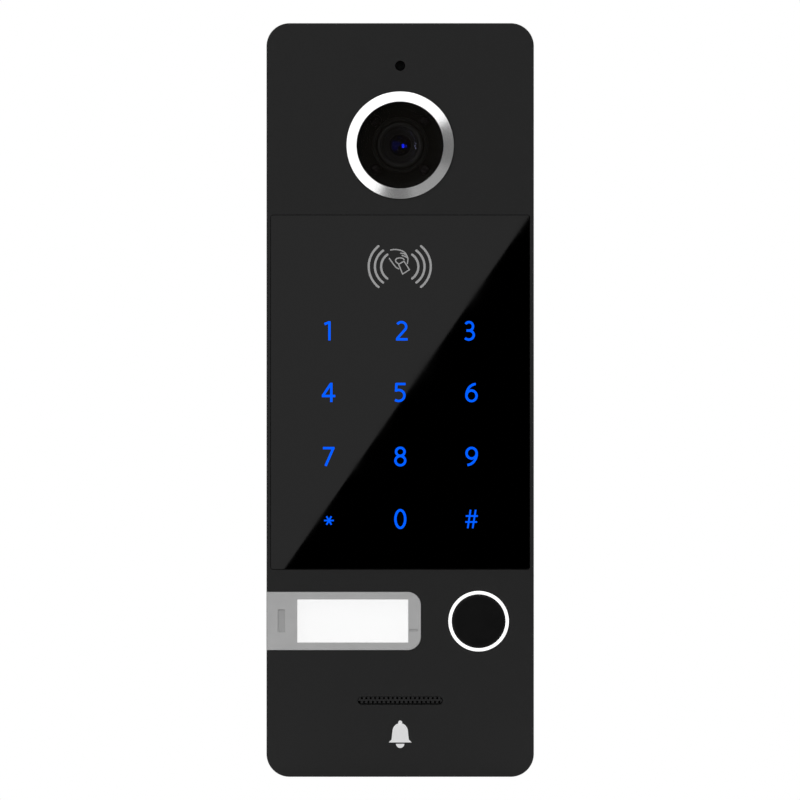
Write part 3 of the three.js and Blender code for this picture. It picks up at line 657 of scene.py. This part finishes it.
def glyph_strokes():
    """Each legend's pen strokes about its own centre: digits 4.5 mm high."""
    turned_six = [[(-x - 0.1, -y) for x, y in line] for line in six()]
    hash_bars = [[(-0.92, -2.08), (-0.27, 2.08)], [(0.2, -2.08), (0.88, 2.08)]]
    hash_bars += [[(-1.36, 0.68), (1.36, 0.68)], [(-1.46, -0.66), (1.2, -0.66)]]
    star_ends = [(1.1 * math.cos(a), 1.1 * math.sin(a)) for a in (0, math.pi / 3, 2 * math.pi / 3)]
    return {
        "1": [[(-0.92, 1.5), (0.1, 1.95)], [(0.19, -2.16), (0.19, 2.16)]],
        "2": [arc(0.28, 0.93, 1.07, 1.04, 148, -38) + [(-0.68, -1.74)], [(-0.94, -1.91), (1.69, -1.91)]],
        "3": [
            arc(-0.62, 1.02, 0.9, 0.95, 148, -90) + [(-1.2, 0.07)],
            [(-1.2, 0.07)] + arc(-0.68, -0.95, 1.13, 1.02, 90, -138),
        ],
        "4": [[(0.62, -2.15), (0.62, 2.18)], [(-1.52, -0.8), (1.52, -0.8)], [(-1.3, -0.76), (0.5, 1.95)]],
        "5": [
            [(-0.95, 1.91), (1.2, 1.91)],
            [(-0.84, 2.1), (-0.94, 0.2)],
            arc(-0.35, -0.68, 1.3, 1.24, 117, -128),
        ],
        "6": six(),
        "7": [[(-1.27, 1.9), (1.34, 1.9)], [(1.1, 1.95), (-0.68, -2.12)]],
        "8": [arc(0.03, 1.07, 0.95, 0.9, 0, 360, 48), arc(0.03, -0.93, 1.1, 1.04, 0, 360, 48)],
        "9": turned_six,
        "star": [[(0.08 + x, y - 0.33), (0.08 - x, -y - 0.33)] for x, y in star_ends],
        "0": [arc(0.03, 0, 1.1, 1.99, 0, 360, 64)],
        "hash": hash_bars,
    }


def keypad_legends():
    """Twelve legends in three columns and four rows, each printed thinly on the glass."""
    pitch_x, rows = 16.15, (15.6, 1.7, -12.75, -26.85)
    pens = {"star": 0.36, "hash": 0.38}
    for i, (key, strokes) in enumerate(glyph_strokes().items()):
        x, y = (i % 3 - 1) * pitch_x, rows[i // 3]
        width = pens.get(key, PEN)
        lines = [[(x + px, y + py) for px, py in line] for line in strokes]
        bands = [stroke("band", line, width, *LEGEND_DEPTHS) for line in lines]
        place(joined(f"legend_{key}", *bands), LOOKS["blue"])


keypad_legends()


def reader_symbol():
    """Card-reader sign: three waves on each side of a hand that holds a card."""
    x, y = -0.1, 30.1
    bands = []
    for bulge, end, half in ((7.0, 4.8, 4.6), (5.6, 3.75, 3.6), (4.2, 2.8, 2.7)):
        sag = bulge - end
        radius = (half**2 + sag**2) / (2 * sag)
        reach = math.degrees(math.asin(half / radius))
        wave = arc(bulge - radius, 0, radius, radius, -reach, reach)
        for side in (-1, 1):
            line = [(x + side * px, y + py) for px, py in wave]
            bands.append(stroke("band", line, 0.5, *LEGEND_DEPTHS, round_ends=True))
    card = [(-0.25, 0.5), (0.95, 1.2), (2.2, -0.7), (0.65, -1.7), (-0.25, 0.5)]
    back_of_hand = [
        (-2.05, 3.75), (-0.95, 3.85), (0.2, 3.65), (1.15, 3.15), (1.65, 2.35), (1.85, 1.65), (1.7, 0.65),
    ]
    thumb = [(-0.35, 0.65), (-0.92, 1.2), (-0.75, 1.75), (-0.1, 1.95), (0.65, 1.85), (1.0, 1.55)]
    palm = [(-2.35, 1.85), (-1.5, 0.65), (-0.8, -0.2), (-0.25, -0.5)]
    fingers = [[(0.2, 3.0), (0.95, 2.9), (1.6, 2.45)], [(0.55, 2.5), (1.2, 2.3), (1.75, 1.95)]]
    hand = [smooth_line(points) for points in (back_of_hand, thumb, palm, *fingers)]
    for line in (*hand, *zip(card, card[1:])):
        shifted = [(x + px, y + py) for px, py in line]
        bands.append(stroke("band", shifted, PEN_READER, *LEGEND_DEPTHS, round_ends=True))
    return bands


waves_and_hand = reader_symbol()
place(joined("reader_waves", *waves_and_hand[:6]), LOOKS["ink"])
place(joined("reader_hand", *waves_and_hand[6:]), LOOKS["ink"])


def bell_symbol():
    """A plain bell sign, printed under the loudspeaker."""
    x, y = 0, -75.5
    dome = arc(x, y + 0.7, 1.75, 1.9, 0, 180) + [(x - 1.95, y - 1.1), (x - 2.6, y - 1.75)]
    dome += [(x + 2.6, y - 1.75), (x + 1.95, y - 1.1)]
    body = prism("band", dome, *LEGEND_DEPTHS)
    knob = prism("band", circle(0.45, x, y + 2.75, 32), *LEGEND_DEPTHS)
    clapper = arc(x, y - 2.05, 0.95, 0.95, 180, 360)
    return body, knob, prism("band", clapper, *LEGEND_DEPTHS)


for part, name in zip(bell_symbol(), ("bell_body", "bell_knob", "bell_clapper")):
    part.name = name
    place(part, LOOKS["white_ink"])


# ---------------------------------------------------------------- camera

def dome(radius, top, rim, steps=12):
    """A convex cap's profile, from the axis to the rim."""
    sag = rim - top
    curve = (radius**2 + sag**2) / (2 * sag)
    radii = [radius * i / steps for i in range(steps + 1)]
    return [(r, top + curve - math.sqrt(curve**2 - r**2)) for r in radii]


CAMERA_AT = (0, RING.y)


def camera_ring():
    outer, bore, lip = RING.radius, RING_BORE, RING_BORE - 0.75
    front = [(outer, -0.05), (outer, -0.28), (bore + 0.05, RING.near), (bore, RING.near + 0.05)]
    rear = [(bore, 1.55), (lip, 1.55), (lip, 2.4), (bore, 2.4), (bore, 7.6), (BARREL, 7.6), (BARREL, -0.05)]
    return turned("camera_ring", rounded(front + rear, 0.03), 192)


def camera_pieces():
    place(camera_ring(), LOOKS["ring"], replaces=["camera_bezel"], at=CAMERA_AT)
    radius = RING_BORE - 0.15
    edge = rounded([(radius, -0.2), (radius, 1.45), (0, 1.45)], 0.1, closed=False)
    window = turned("camera_cover_glass", dome(radius, -0.75, -0.2) + edge[1:], 128)
    place(window, LOOKS["window"], replaces=["camera_window"], at=CAMERA_AT)
    border = rounded([(8.8, 1.46), (9.75, 1.46), (9.75, 1.54), (8.8, 1.54)], 0.02)
    place(turned("window_border", border, 96), LOOKS["shade"], at=CAMERA_AT)

    shield = rounded([(5.65, 1.6), (6.2, 1.6), (6.2, 6.8), (5.65, 6.8)], 0.15)
    place(turned("light_baffle", shield, 96), LOOKS["shade"],
          replaces=["light_shield"], at=CAMERA_AT)
    board = rounded([(6.35, 4.3), (9.45, 4.3), (9.45, 5.3), (6.35, 5.3)], 0.08)
    place(turned("lamp_ring_board", board, 96), LOOKS["shade"],
          replaces=["ir_led_board"], at=CAMERA_AT)
    for i in range(1, 5):
        lamp = Extent(f"ir_led_{i}")
        shape = dome(1.3, 2.55, 3.35) + rounded([(1.3, 3.35), (1.3, 4.2), (0, 4.2)], 0.1, closed=False)[1:]
        place(turned(f"lamp_{i}", shape, 48), LOOKS["led"], replaces=[f"ir_led_{i}"],
              at=(lamp.x, lamp.y))


camera_pieces()


def lens():
    """Threaded barrel with stepped baffles, a front element and a smaller coated element behind."""
    steps = [(4.3, 3.55), (3.5, 3.6), (3.5, 4.0), (2.5, 4.05), (2.5, 4.9), (0, 4.9)]
    front = [(4.25, 2.6), (4.55, 2.3), (5.0, 2.35), (5.45, 2.75)]
    thread = [(5.45 - 0.12 * (i % 2), 3.0 + 0.25 * i) for i in range(25)]
    body = [(5.1, 9.2), (5.1, 13.6), (0, 13.6)]
    profile = steps[::-1] + front + thread + body
    barrel = turned("lens_tube", rounded(profile, 0.1, closed=False, steps=3), 96)
    place(barrel, LOOKS["lens_black"], replaces=["lens_barrel"], at=CAMERA_AT)
    front_shape = dome(4.2, 2.55, 3.3) + [(4.2, 3.5), (0, 3.5)]
    front_element = turned("lens_front_element", front_shape, 96)
    place(front_element, LOOKS["front_element"], replaces=["lens_glass"], at=CAMERA_AT)
    inner_shape = dome(2.4, 3.8, 4.1) + [(2.4, 4.8), (0, 4.8)]
    inner_element = turned("lens_inner_element", inner_shape, 64)
    place(inner_element, LOOKS["inner_element"], at=CAMERA_AT)
    return barrel, front_element, inner_element


lens_tube, front_element, inner_element = lens()

# ---------------------------------------------------------------- microphone and speaker

MIC_AT = (0, BOOT.y)
boot = rounded([(1, 3.7), (4.2, 3.7), (4.2, 8.6), (3.15, 8.6), (3.15, 5.1), (1, 5.1)], 0.25)
place(turned("mic_boot", boot, 64), LOOKS["rubber"],
      replaces=["microphone_boot"], at=MIC_AT)
capsule = rounded([(0, 5.2), (3.05, 5.2), (3.05, 7.9), (0, 7.9)], 0.3, closed=False)
place(turned("mic_capsule", capsule, 64), LOOKS["steel"],
      replaces=["microphone_capsule"], at=MIC_AT)


def speaker_grille():
    """Perforated insert: two staggered rows of round holes, and a gap below it in the slot."""
    pitch, holes, radius = 1.0, 19, 0.26
    shift = 0.1  # the rows stand this far right of the slot's middle
    width, height = SLOT
    nose_height = 1.5
    nose_y = GRILLE.y + (height - nose_height) / 2 - 0.05
    nose_outline = rounded_rect(width - 0.3, nose_height, nose_height / 2 - 0.01, 0, nose_y, 12)
    nose = softened(prism("grille_insert", nose_outline, 0.04, 2.6), 0.04, 2)
    flange = block(rounded_rect(GRILLE.width, GRILLE.height, 0.9, 0, GRILLE.y), 2.5, GRILLE.far)
    insert = joined("grille_insert", nose, flange)
    row_gap = pitch * math.sin(math.pi / 3)
    tools = []
    for side in (-1, 1):
        for i in range(holes):
            x = (i - (holes - 1) / 2 + side / 4) * pitch + shift
            tools.append(block(circle(radius, x, nose_y + side * row_gap / 2, 20), -1, 5))
    return carved(insert, *tools)


place(speaker_grille(), LOOKS["grille"], replaces=["speaker_grille"])

# ---------------------------------------------------------------- nameplate

def window_outline(margin):
    """The nameplate's window, grown by the margin on every side."""
    side, half = 12.5 + margin, 4.85 + margin
    return box_outline(PLATE_WINDOW.x - side, PLATE_WINDOW.x + side, COVER.y - half, COVER.y + half)


def nameplate_cover():
    right, height = COVER.right - RAIL, COVER.height - 2 * RAIL_RIM
    front = prism("nameplate_shell", tab(COVER.left, right, height, 3, COVER.y), 0, 1.75)
    rails = block(tab(COVER.left, COVER.right, COVER.height, 3.7, COVER.y), 1.7, COVER.far)
    tools = [
        block(window_outline(0), -1, 1.5),
        block(window_outline(0.6), 1.3, 4),
        block(rounded_rect(1.6, 5.2, 0.2, -26.8, COVER.y, 5), -1, 0.2),
        block(rounded_rect(2, 0.6, 0.1, 3, COVER.y - 2.1, 5), -1, 0.14),
    ]
    return softened(carved(joined("nameplate_shell", front, rails), *tools), 0.12, 3)


def plate_window():
    pane = prism("label_window", window_outline(-GAP), PLATE_WINDOW.near, 1.5)
    flange = block(window_outline(0.5), 1.4, PLATE_WINDOW.far)
    return softened(joined("label_window", pane, flange), 0.12, 2)


def name_card():
    outline = rounded_rect(CARD.width, CARD.height, 0.4, CARD.x, CARD.y, 4)
    return softened(prism("name_card", outline, CARD.near, CARD.far), 0.05, 2)


for make, look, slot, node in (
    (nameplate_cover, "cover", "nameplate_grey", "nameplate_cover"),
    (plate_window, "clear", "clear_plastic", "nameplate_window"),
    (name_card, "paper", "label_paper", "name_label"),
):
    place(make(), LOOKS[look], body="nameplate", replaces=[node])
# Darker pads are painted shade: they lie in the finger recess and in the index groove beside the window.
recess_shade_pad = prism("finger_recess_shade", rounded_rect(1.6, 5.05, 0.2, -26.65, COVER.y, 5), 0.16, 0.22)
groove_shade_pad = prism("index_groove_shade", rounded_rect(1.85, 0.65, 0.1, 3, COVER.y - 2.2, 5), 0.1, 0.16)
for shade_pad in (recess_shade_pad, groove_shade_pad):
    place(shade_pad, LOOKS["painted_recess_shade"], body="nameplate")

# ---------------------------------------------------------------- call button

BUTTON_AT = (CAP.x, CAP.y)
cap_shape = dome(5.4, -0.55, -0.47) + [
    (5.8, -0.38), (5.9, -0.2), (5.9, 3), (6.35, 3), (6.35, 4.2), (2.1, 4.2), (2.1, 5.9), (0, 5.9),
]
place(turned("button_cap", rounded(cap_shape, 0.15, closed=False), 128), LOOKS["button"],
      body="call_button", replaces=["call_button_cap"], at=BUTTON_AT)
pipe_shape = [
    (6.08, -0.17), (6.15, -0.25), (6.74, -0.25), (6.82, -0.17), (6.82, 3.7), (7.6, 3.7),
    (7.6, 4.9), (7.2, 4.9), (7.2, 11.3), (6.5, 11.3), (6.5, 2.85), (6.08, 2.85),
]
place(turned("button_light_ring", rounded(pipe_shape, 0.06), 128), LOOKS["light_pipe"],
      replaces=["call_button_ring"], at=BUTTON_AT)

# The silicone seal behind the cap, down to the seal's foot, given a mesh of its own.
seal_foot = 11.4
seal_shape = [
    (0, 6), (2.4, 6), (6.4, 8.4), (6.4, seal_foot), (5.7, seal_foot), (5.7, 8.8), (2.2, 6.65), (0, 6.65),
]
seal = place(turned("button_seal", rounded(seal_shape, 0.08, closed=False), 96), LOOKS["silicone"],
             replaces=["call_button_seal"], at=BUTTON_AT)
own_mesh(seal)

# ---------------------------------------------------------------- rear

SCREWS = [Extent(f"housing_screw_{i}") for i in range(1, 7)]
CABLE = Extent("cable_grommet")
LOCK = Extent("lock_screw")
LOCK_DEPTH = (LOCK.near + LOCK.far) / 2
FIXING_SLOT = (4.4, 9)  # width and height of the bracket's slots for wall screws
HOOKS = (-15, 15)  # places across the width where the housing hangs on the bracket
TO_UPRIGHT = Matrix.Rotation(math.pi / 2, 4, "X")


def stood_up(piece):
    """Turns a piece drawn along the depth to stand upright on the lock screw's axis."""
    piece.data.transform(Matrix.Translation((0, 0, -LOCK_DEPTH)) @ TO_UPRIGHT)
    return piece


def lock_bore(radius, y):
    """Cuts the lock screw's way through a bottom wall at that height."""
    return stood_up(block(circle(radius, steps=48), y - 4, y + 4))


def rear_housing():
    width, height, wall, near, far = HOUSING.width, HOUSING.height, 2, 5, HOUSING.far
    floor_near, floor_far = 20.5, 22.5
    inner = rounded_rect(width - 2 * wall, height - 2 * wall, 1.5)
    shell = prism("rear_shell", rounded_rect(width, height, 3.2), near, far)
    shell = carved(shell, block(inner, near - 1, floor_near), block(inner, floor_far, far + 1))
    posts = [block(circle(3.25, s.x, s.y, 48), 8.1, floor_near + 0.5) for s in SCREWS]
    lips = [block(box_outline(x - 7, x + 7, 77.5, height / 2 - 1.5), 24.3, far) for x in HOOKS]
    pocket = block(box_outline(-10.5, 10.5, -height / 2 + 1, -71.5), 12.5, floor_far)
    shell = joined("rear_shell", shell, *posts, *lips, pocket)
    tools = [
        block(box_outline(-9, 9, -height / 2 + wall, -73), 14, far + 1),
        block(circle(6.05, 0, CABLE.y, 64), 15, far),
        lock_bore(1.75, -height / 2),
    ]
    tools += [block(circle(1.5, s.x, s.y, 32), 7, 24) for s in SCREWS]
    tools += [block(circle(2.6, s.x, s.y, 32), 19.6, 24) for s in SCREWS]
    return softened(carved(shell, *tools), 0.25, 2)


place(rear_housing(), LOOKS["housing"], replaces=["rear_housing"])


def wall_bracket():
    top, bottom, near = 76, -76.5, 24.5
    outline = rounded_rect(BRACKET.width, top - bottom, 3, 0, (top + bottom) / 2)
    plate = prism("bracket_plate", outline, near, WALL)
    extras = []
    for x in HOOKS:
        extras.append(block(box_outline(x - 5, x + 5, top - 1.5, top), 22.9, near + 0.5))
        extras.append(block(box_outline(x - 5, x + 5, top - 1.5, BRACKET.top), 22.9, 24.1))
    extras.append(block(box_outline(-7, 7, bottom - 1.5, bottom + 0.01), 15.5, WALL))
    plate = joined("bracket_plate", plate, *extras)
    tools = [block(rounded_rect(24, 32, 3, 0, CABLE.y), 20, 30)]
    tools += [block(rounded_rect(*FIXING_SLOT, FIXING_SLOT[0] / 2, 0, y), 20, 30) for y in (60, -60)]
    tools += [block(circle(2.2, x, 12, 48), 20, 30) for x in (-17, 17)]
    tools.append(lock_bore(1.6, bottom))
    return softened(carved(plate, *tools), 0.2, 2)


place(wall_bracket(), LOOKS["steel"], replaces=["wall_bracket"])


def screw(name, head_near, head_far, tip, head_radius, shank_radius, at):
    """A pan-head screw with a cross recess, driven along the depth."""
    way = 1 if tip > head_far else -1
    profile = [(0, head_near), (head_radius * 0.7, head_near), (head_radius, head_near + way * 0.6)]
    profile += [(head_radius, head_far), (shank_radius, head_far)]
    pitch = 0.7
    for i in range(1, int(abs(tip - head_far) / pitch)):
        depth = head_far + way * pitch * i
        profile += [(shank_radius * 0.82, depth), (shank_radius, depth + way * pitch / 2)]
    profile += [(shank_radius * 0.6, tip), (0, tip)]
    made = turned(name, rounded(profile, 0.12, closed=False, steps=3), 40)
    low, high = sorted((head_near - way, head_near + way * 0.9))
    arms = [box_outline(-1.3, 1.3, -0.25, 0.25), box_outline(-0.25, 0.25, -1.3, 1.3)]
    made = carved(made, *[block(arm, low, high) for arm in arms])
    return place(made, LOOKS["steel"], at=at)


for i, s in enumerate(SCREWS, 1):
    made = screw(f"rear_screw_{i}", s.far, s.far - 1.8, s.near, 2.3, 1.15, (s.x, s.y))
    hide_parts(f"housing_screw_{i}")


def grommet():
    shape = [
        (3.5, 19.2), (7.5, 19.2), (7.5, 20.4), (5.95, 20.4),
        (5.95, 22.6), (7.5, 22.6), (7.5, 24.2), (3.5, 24.2),
    ]
    piece = turned("cable_gland", rounded(shape, 0.35), 96)
    place(piece, LOOKS["rubber"], replaces=["cable_grommet"], at=(CABLE.x, CABLE.y))


grommet()


def wall_seal():
    width, height, band = 55.7, 165.4, 1.5
    outer = prism("foam_seal", rounded_rect(width, height, 3.2), HOUSING.far + 0.01, WALL)
    seal = carved(outer, block(rounded_rect(width - 2 * band, height - 2 * band, 2.4), 20, 30))
    place(softened(seal, 0.05, 2), LOOKS["foam"], replaces=["wall_gasket"])


wall_seal()


def lock_screw():
    """Stands upright under the housing, with its head down."""
    head = LOCK.bottom
    profile = [(0, head), (2.2, head), (2.75, head + 0.5), (2.75, head + 1.6), (1.5, head + 1.6)]
    for i in range(1, 13):
        profile += [(1.25, head + 1.9 + 0.5 * i), (1.5, head + 2.15 + 0.5 * i)]
    profile += [(1.0, LOCK.top), (0, LOCK.top)]
    made = turned("lock_screw_piece", rounded(profile, 0.1, closed=False, steps=3), 48)
    socket = [(1.25 * math.cos(a), 1.25 * math.sin(a)) for a in [math.pi / 3 * k for k in range(6)]]
    made = carved(made, block(socket, head - 1, head + 1.1))
    place(stood_up(made), LOOKS["steel"], replaces=["lock_screw"])


lock_screw()

# ---------------------------------------------------------------- inner pieces keep their CAD shape

INNER = {
    "white": ["keypad_light_frame", "nameplate_diffuser", "cable_header"],
    "board": ["keypad_board", "camera_board", "nameplate_light_board", "main_board"],
    "black": [
        "keypad_header", "lens_holder", "call_switch_body", "lock_relay", "processor_chip", "image_sensor",
    ],
    "copper": ["rfid_coil"],
    "steel": [
        "bezel_nut", "camera_screw_1", "camera_screw_2", "speaker_basket", "speaker_magnet",
        "board_screw_1", "board_screw_2",
    ],
    "film": ["camera_ribbon"],
    "cone": ["speaker_cone"],
    "wire": ["microphone_lead", "speaker_lead"],
    "foam": ["speaker_gasket"],
    "silicone": ["housing_gasket"],
    "cover": ["call_switch_plunger"],
}
for look, nodes in INNER.items():
    for node in nodes:
        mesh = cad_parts[node]
        for slot_index in range(len(mesh.material_slots)):
            mesh.material_slots[slot_index].material = LOOKS[look]

# ---------------------------------------------------------------- stage, light and camera

def stage_material():
    look = Finish("floor", Specular_IOR_Level=0.1)
    look.mixed(look.ramp(look.noise(60, 3), 0, 1), grey(0.8), grey(0.83))
    look.rough(look.noise(30, 2), 0.7, 0.8)
    return look.material


def light_only(lamp, receiver):
    """Lets the lamp reach one piece alone."""
    group = bpy.data.collections.new(lamp.name)
    group.objects.link(receiver)
    lamp.light_linking.receiver_collection = group


def plane(name, width, height, matrix, material):
    bm = bmesh.new()
    bmesh.ops.create_grid(bm, x_segments=1, y_segments=1, size=0.5)
    bmesh.ops.scale(bm, vec=(width, height, 1), verts=bm.verts)
    mesh = bpy.data.meshes.new(name)
    bm.to_mesh(mesh)
    bm.free()
    made = bpy.data.objects.new(name, mesh)
    made.matrix_world = matrix
    mesh.materials.append(material)
    bpy.context.scene.collection.objects.link(made)
    return made


def softbox(name, place_at, width, height, radiance, roll=0.0, aim=(0, 0, 0)):
    """A soft area light that faces the aim, as bright from every side as its radiance says."""
    light = bpy.data.lights.new(name, "AREA")
    light.shape = "RECTANGLE"
    light.size, light.size_y = width, height
    light.energy = math.pi * width * height * radiance
    made = bpy.data.objects.new(name, light)
    away = Vector(place_at) - Vector(aim)
    turn = away.to_track_quat("Z", "Y").to_matrix().to_4x4()
    made.matrix_world = Matrix.Translation(place_at) @ turn @ Matrix.Rotation(roll, 4, "Z")
    made.visible_camera = False
    bpy.context.scene.collection.objects.link(made)
    return made


FLOOR_FRONT = -0.1  # the floor ends here, so that the panel's front is lit from below too
FLOOR_DEPTH = 1.6
floor_top = cad_box[0].z - 0.0004
floor_at = Matrix.Translation((0, FLOOR_FRONT + FLOOR_DEPTH / 2, floor_top))
floor = plane("floor", 3, FLOOR_DEPTH, floor_at, stage_material())


def reflected_card():
    """A bright card in front, which the black glass mirrors. Its long edge slants across
    the glass, from the upper right corner to the lower left."""
    corners = [(29.9, 42.6), (-26.9, -39.2), (-31, -39.2), (-31, 42.6)]
    card = prism("bright_card", corners, 300, 301)
    card.data.transform(UPRIGHT @ Matrix.Scale(-1, 4, (0, 0, 1)))
    look = Finish("card", Roughness=1.0, Specular_IOR_Level=0.0, Emission_Strength=0.55)
    look.mixed(look.noise(90), grey(0.0), grey(0.001))
    look.mixed(look.noise(90), grey(0.97), grey(1.0), "Emission Color")
    card.data.materials.append(look.material)
    for ray in ("camera", "shadow", "diffuse"):
        setattr(card, f"visible_{ray}", False)
    light_only(card, glass)


reflected_card()

# Softboxes in a circle round the camera's axis: bright from the upper right over the left to
# the bottom, dim at the lower right, so that the ring's bevel goes from white to grey.
OFF_AXIS = math.radians(54)
REACH = 1.3


def arc_of_softboxes(name, start, end, radiances):
    """Softboxes side by side from one angle to another, with their edges touching."""
    step = (end - start) / len(radiances)
    side = math.radians(step) * REACH * math.sin(OFF_AXIS)
    for i, radiance in enumerate(radiances):
        angle = math.radians(start + step * (i + 0.5))
        across = REACH * math.sin(OFF_AXIS)
        at = (across * math.cos(angle), -REACH * math.cos(OFF_AXIS), across * math.sin(angle))
        softbox(f"{name}_{i}", at, side, side, radiance)


arc_of_softboxes("key", 31, 239, [1.25] * 5)
arc_of_softboxes("fill", 239, 391, [0.17, 0.32, 0.17])


def glint(name, receiver, right, up, width, height, radiance):
    """A lamp that only the receiver mirrors. Its angles are in degrees from the camera's axis."""
    reach = 1.0
    at = Vector((math.tan(math.radians(right)), -1, math.tan(math.radians(up)))) * reach
    at.z += RING.y * MM
    size = [2 * at.length * math.tan(math.radians(angle) / 2) for angle in (width, height)]
    lamp = softbox(name, at, *size, radiance, aim=(0, 0, RING.y * MM))
    light_only(lamp, receiver)


glint("lens_spark", inner_element, 7.6, -2.4, 6.5, 10, 4)
glint("lens_spark_2", inner_element, 15.5, -2.9, 3.3, 8, 0.8)
glint("lens_haze", inner_element, -10.6, -1.6, 21, 22, 0.07)
glint("lens_pane", front_element, 37, -2, 13, 13, 7)
glint("lens_pane_2", front_element, 37, 13, 7, 8, 6)
glint("barrel_glow", lens_tube, -50, -5, 30, 60, 2.2)

softbox("rear_left", (-1.0, 1.2, 0.9), 1.2, 1.2, 0.55)
softbox("rear_right", (1.2, 1.1, 0.5), 1.0, 1.0, 0.6)
softbox("rear_fill", (0.25, 1.7, 0.35), 1.4, 1.4, 0.5)
softbox("overhead", (0, 0.3, 1.6), 1.4, 1.4, 0.55)
light_only(softbox("floor_wash", (0, 0.7, 1.8), 2.4, 1.6, 0.6), floor)

world = bpy.data.worlds.new("studio")
world.use_nodes = True
world_nodes, world_links = world.node_tree.nodes, world.node_tree.links
background = world_nodes["Background"]
background.inputs["Color"].default_value = (1, 1, 1, 1)
path = world_nodes.new("ShaderNodeLightPath")
strength = world_nodes.new("ShaderNodeMath")
strength.operation = "MULTIPLY_ADD"
strength.inputs[1].default_value = 0.2  # the share of the backdrop's white that lights the scene
world_links.new(path.outputs["Is Diffuse Ray"], strength.inputs[0])
world_links.new(path.outputs["Is Camera Ray"], strength.inputs[2])
world_links.new(strength.outputs[0], background.inputs["Strength"])
bpy.context.scene.world = world

camera_data = bpy.data.cameras.new("camera")
camera_data.type = "ORTHO"
camera_data.ortho_scale = 0.18046  # the picture's width and height in metres
camera_data.clip_end = 20
camera = bpy.data.objects.new("camera", camera_data)
camera.location = (-0.00004, -3, 0)
camera.rotation_euler = (math.pi / 2, 0, 0)
bpy.context.scene.collection.objects.link(camera)
bpy.context.scene.camera = camera
bpy.context.scene.view_settings.view_transform = "Standard"
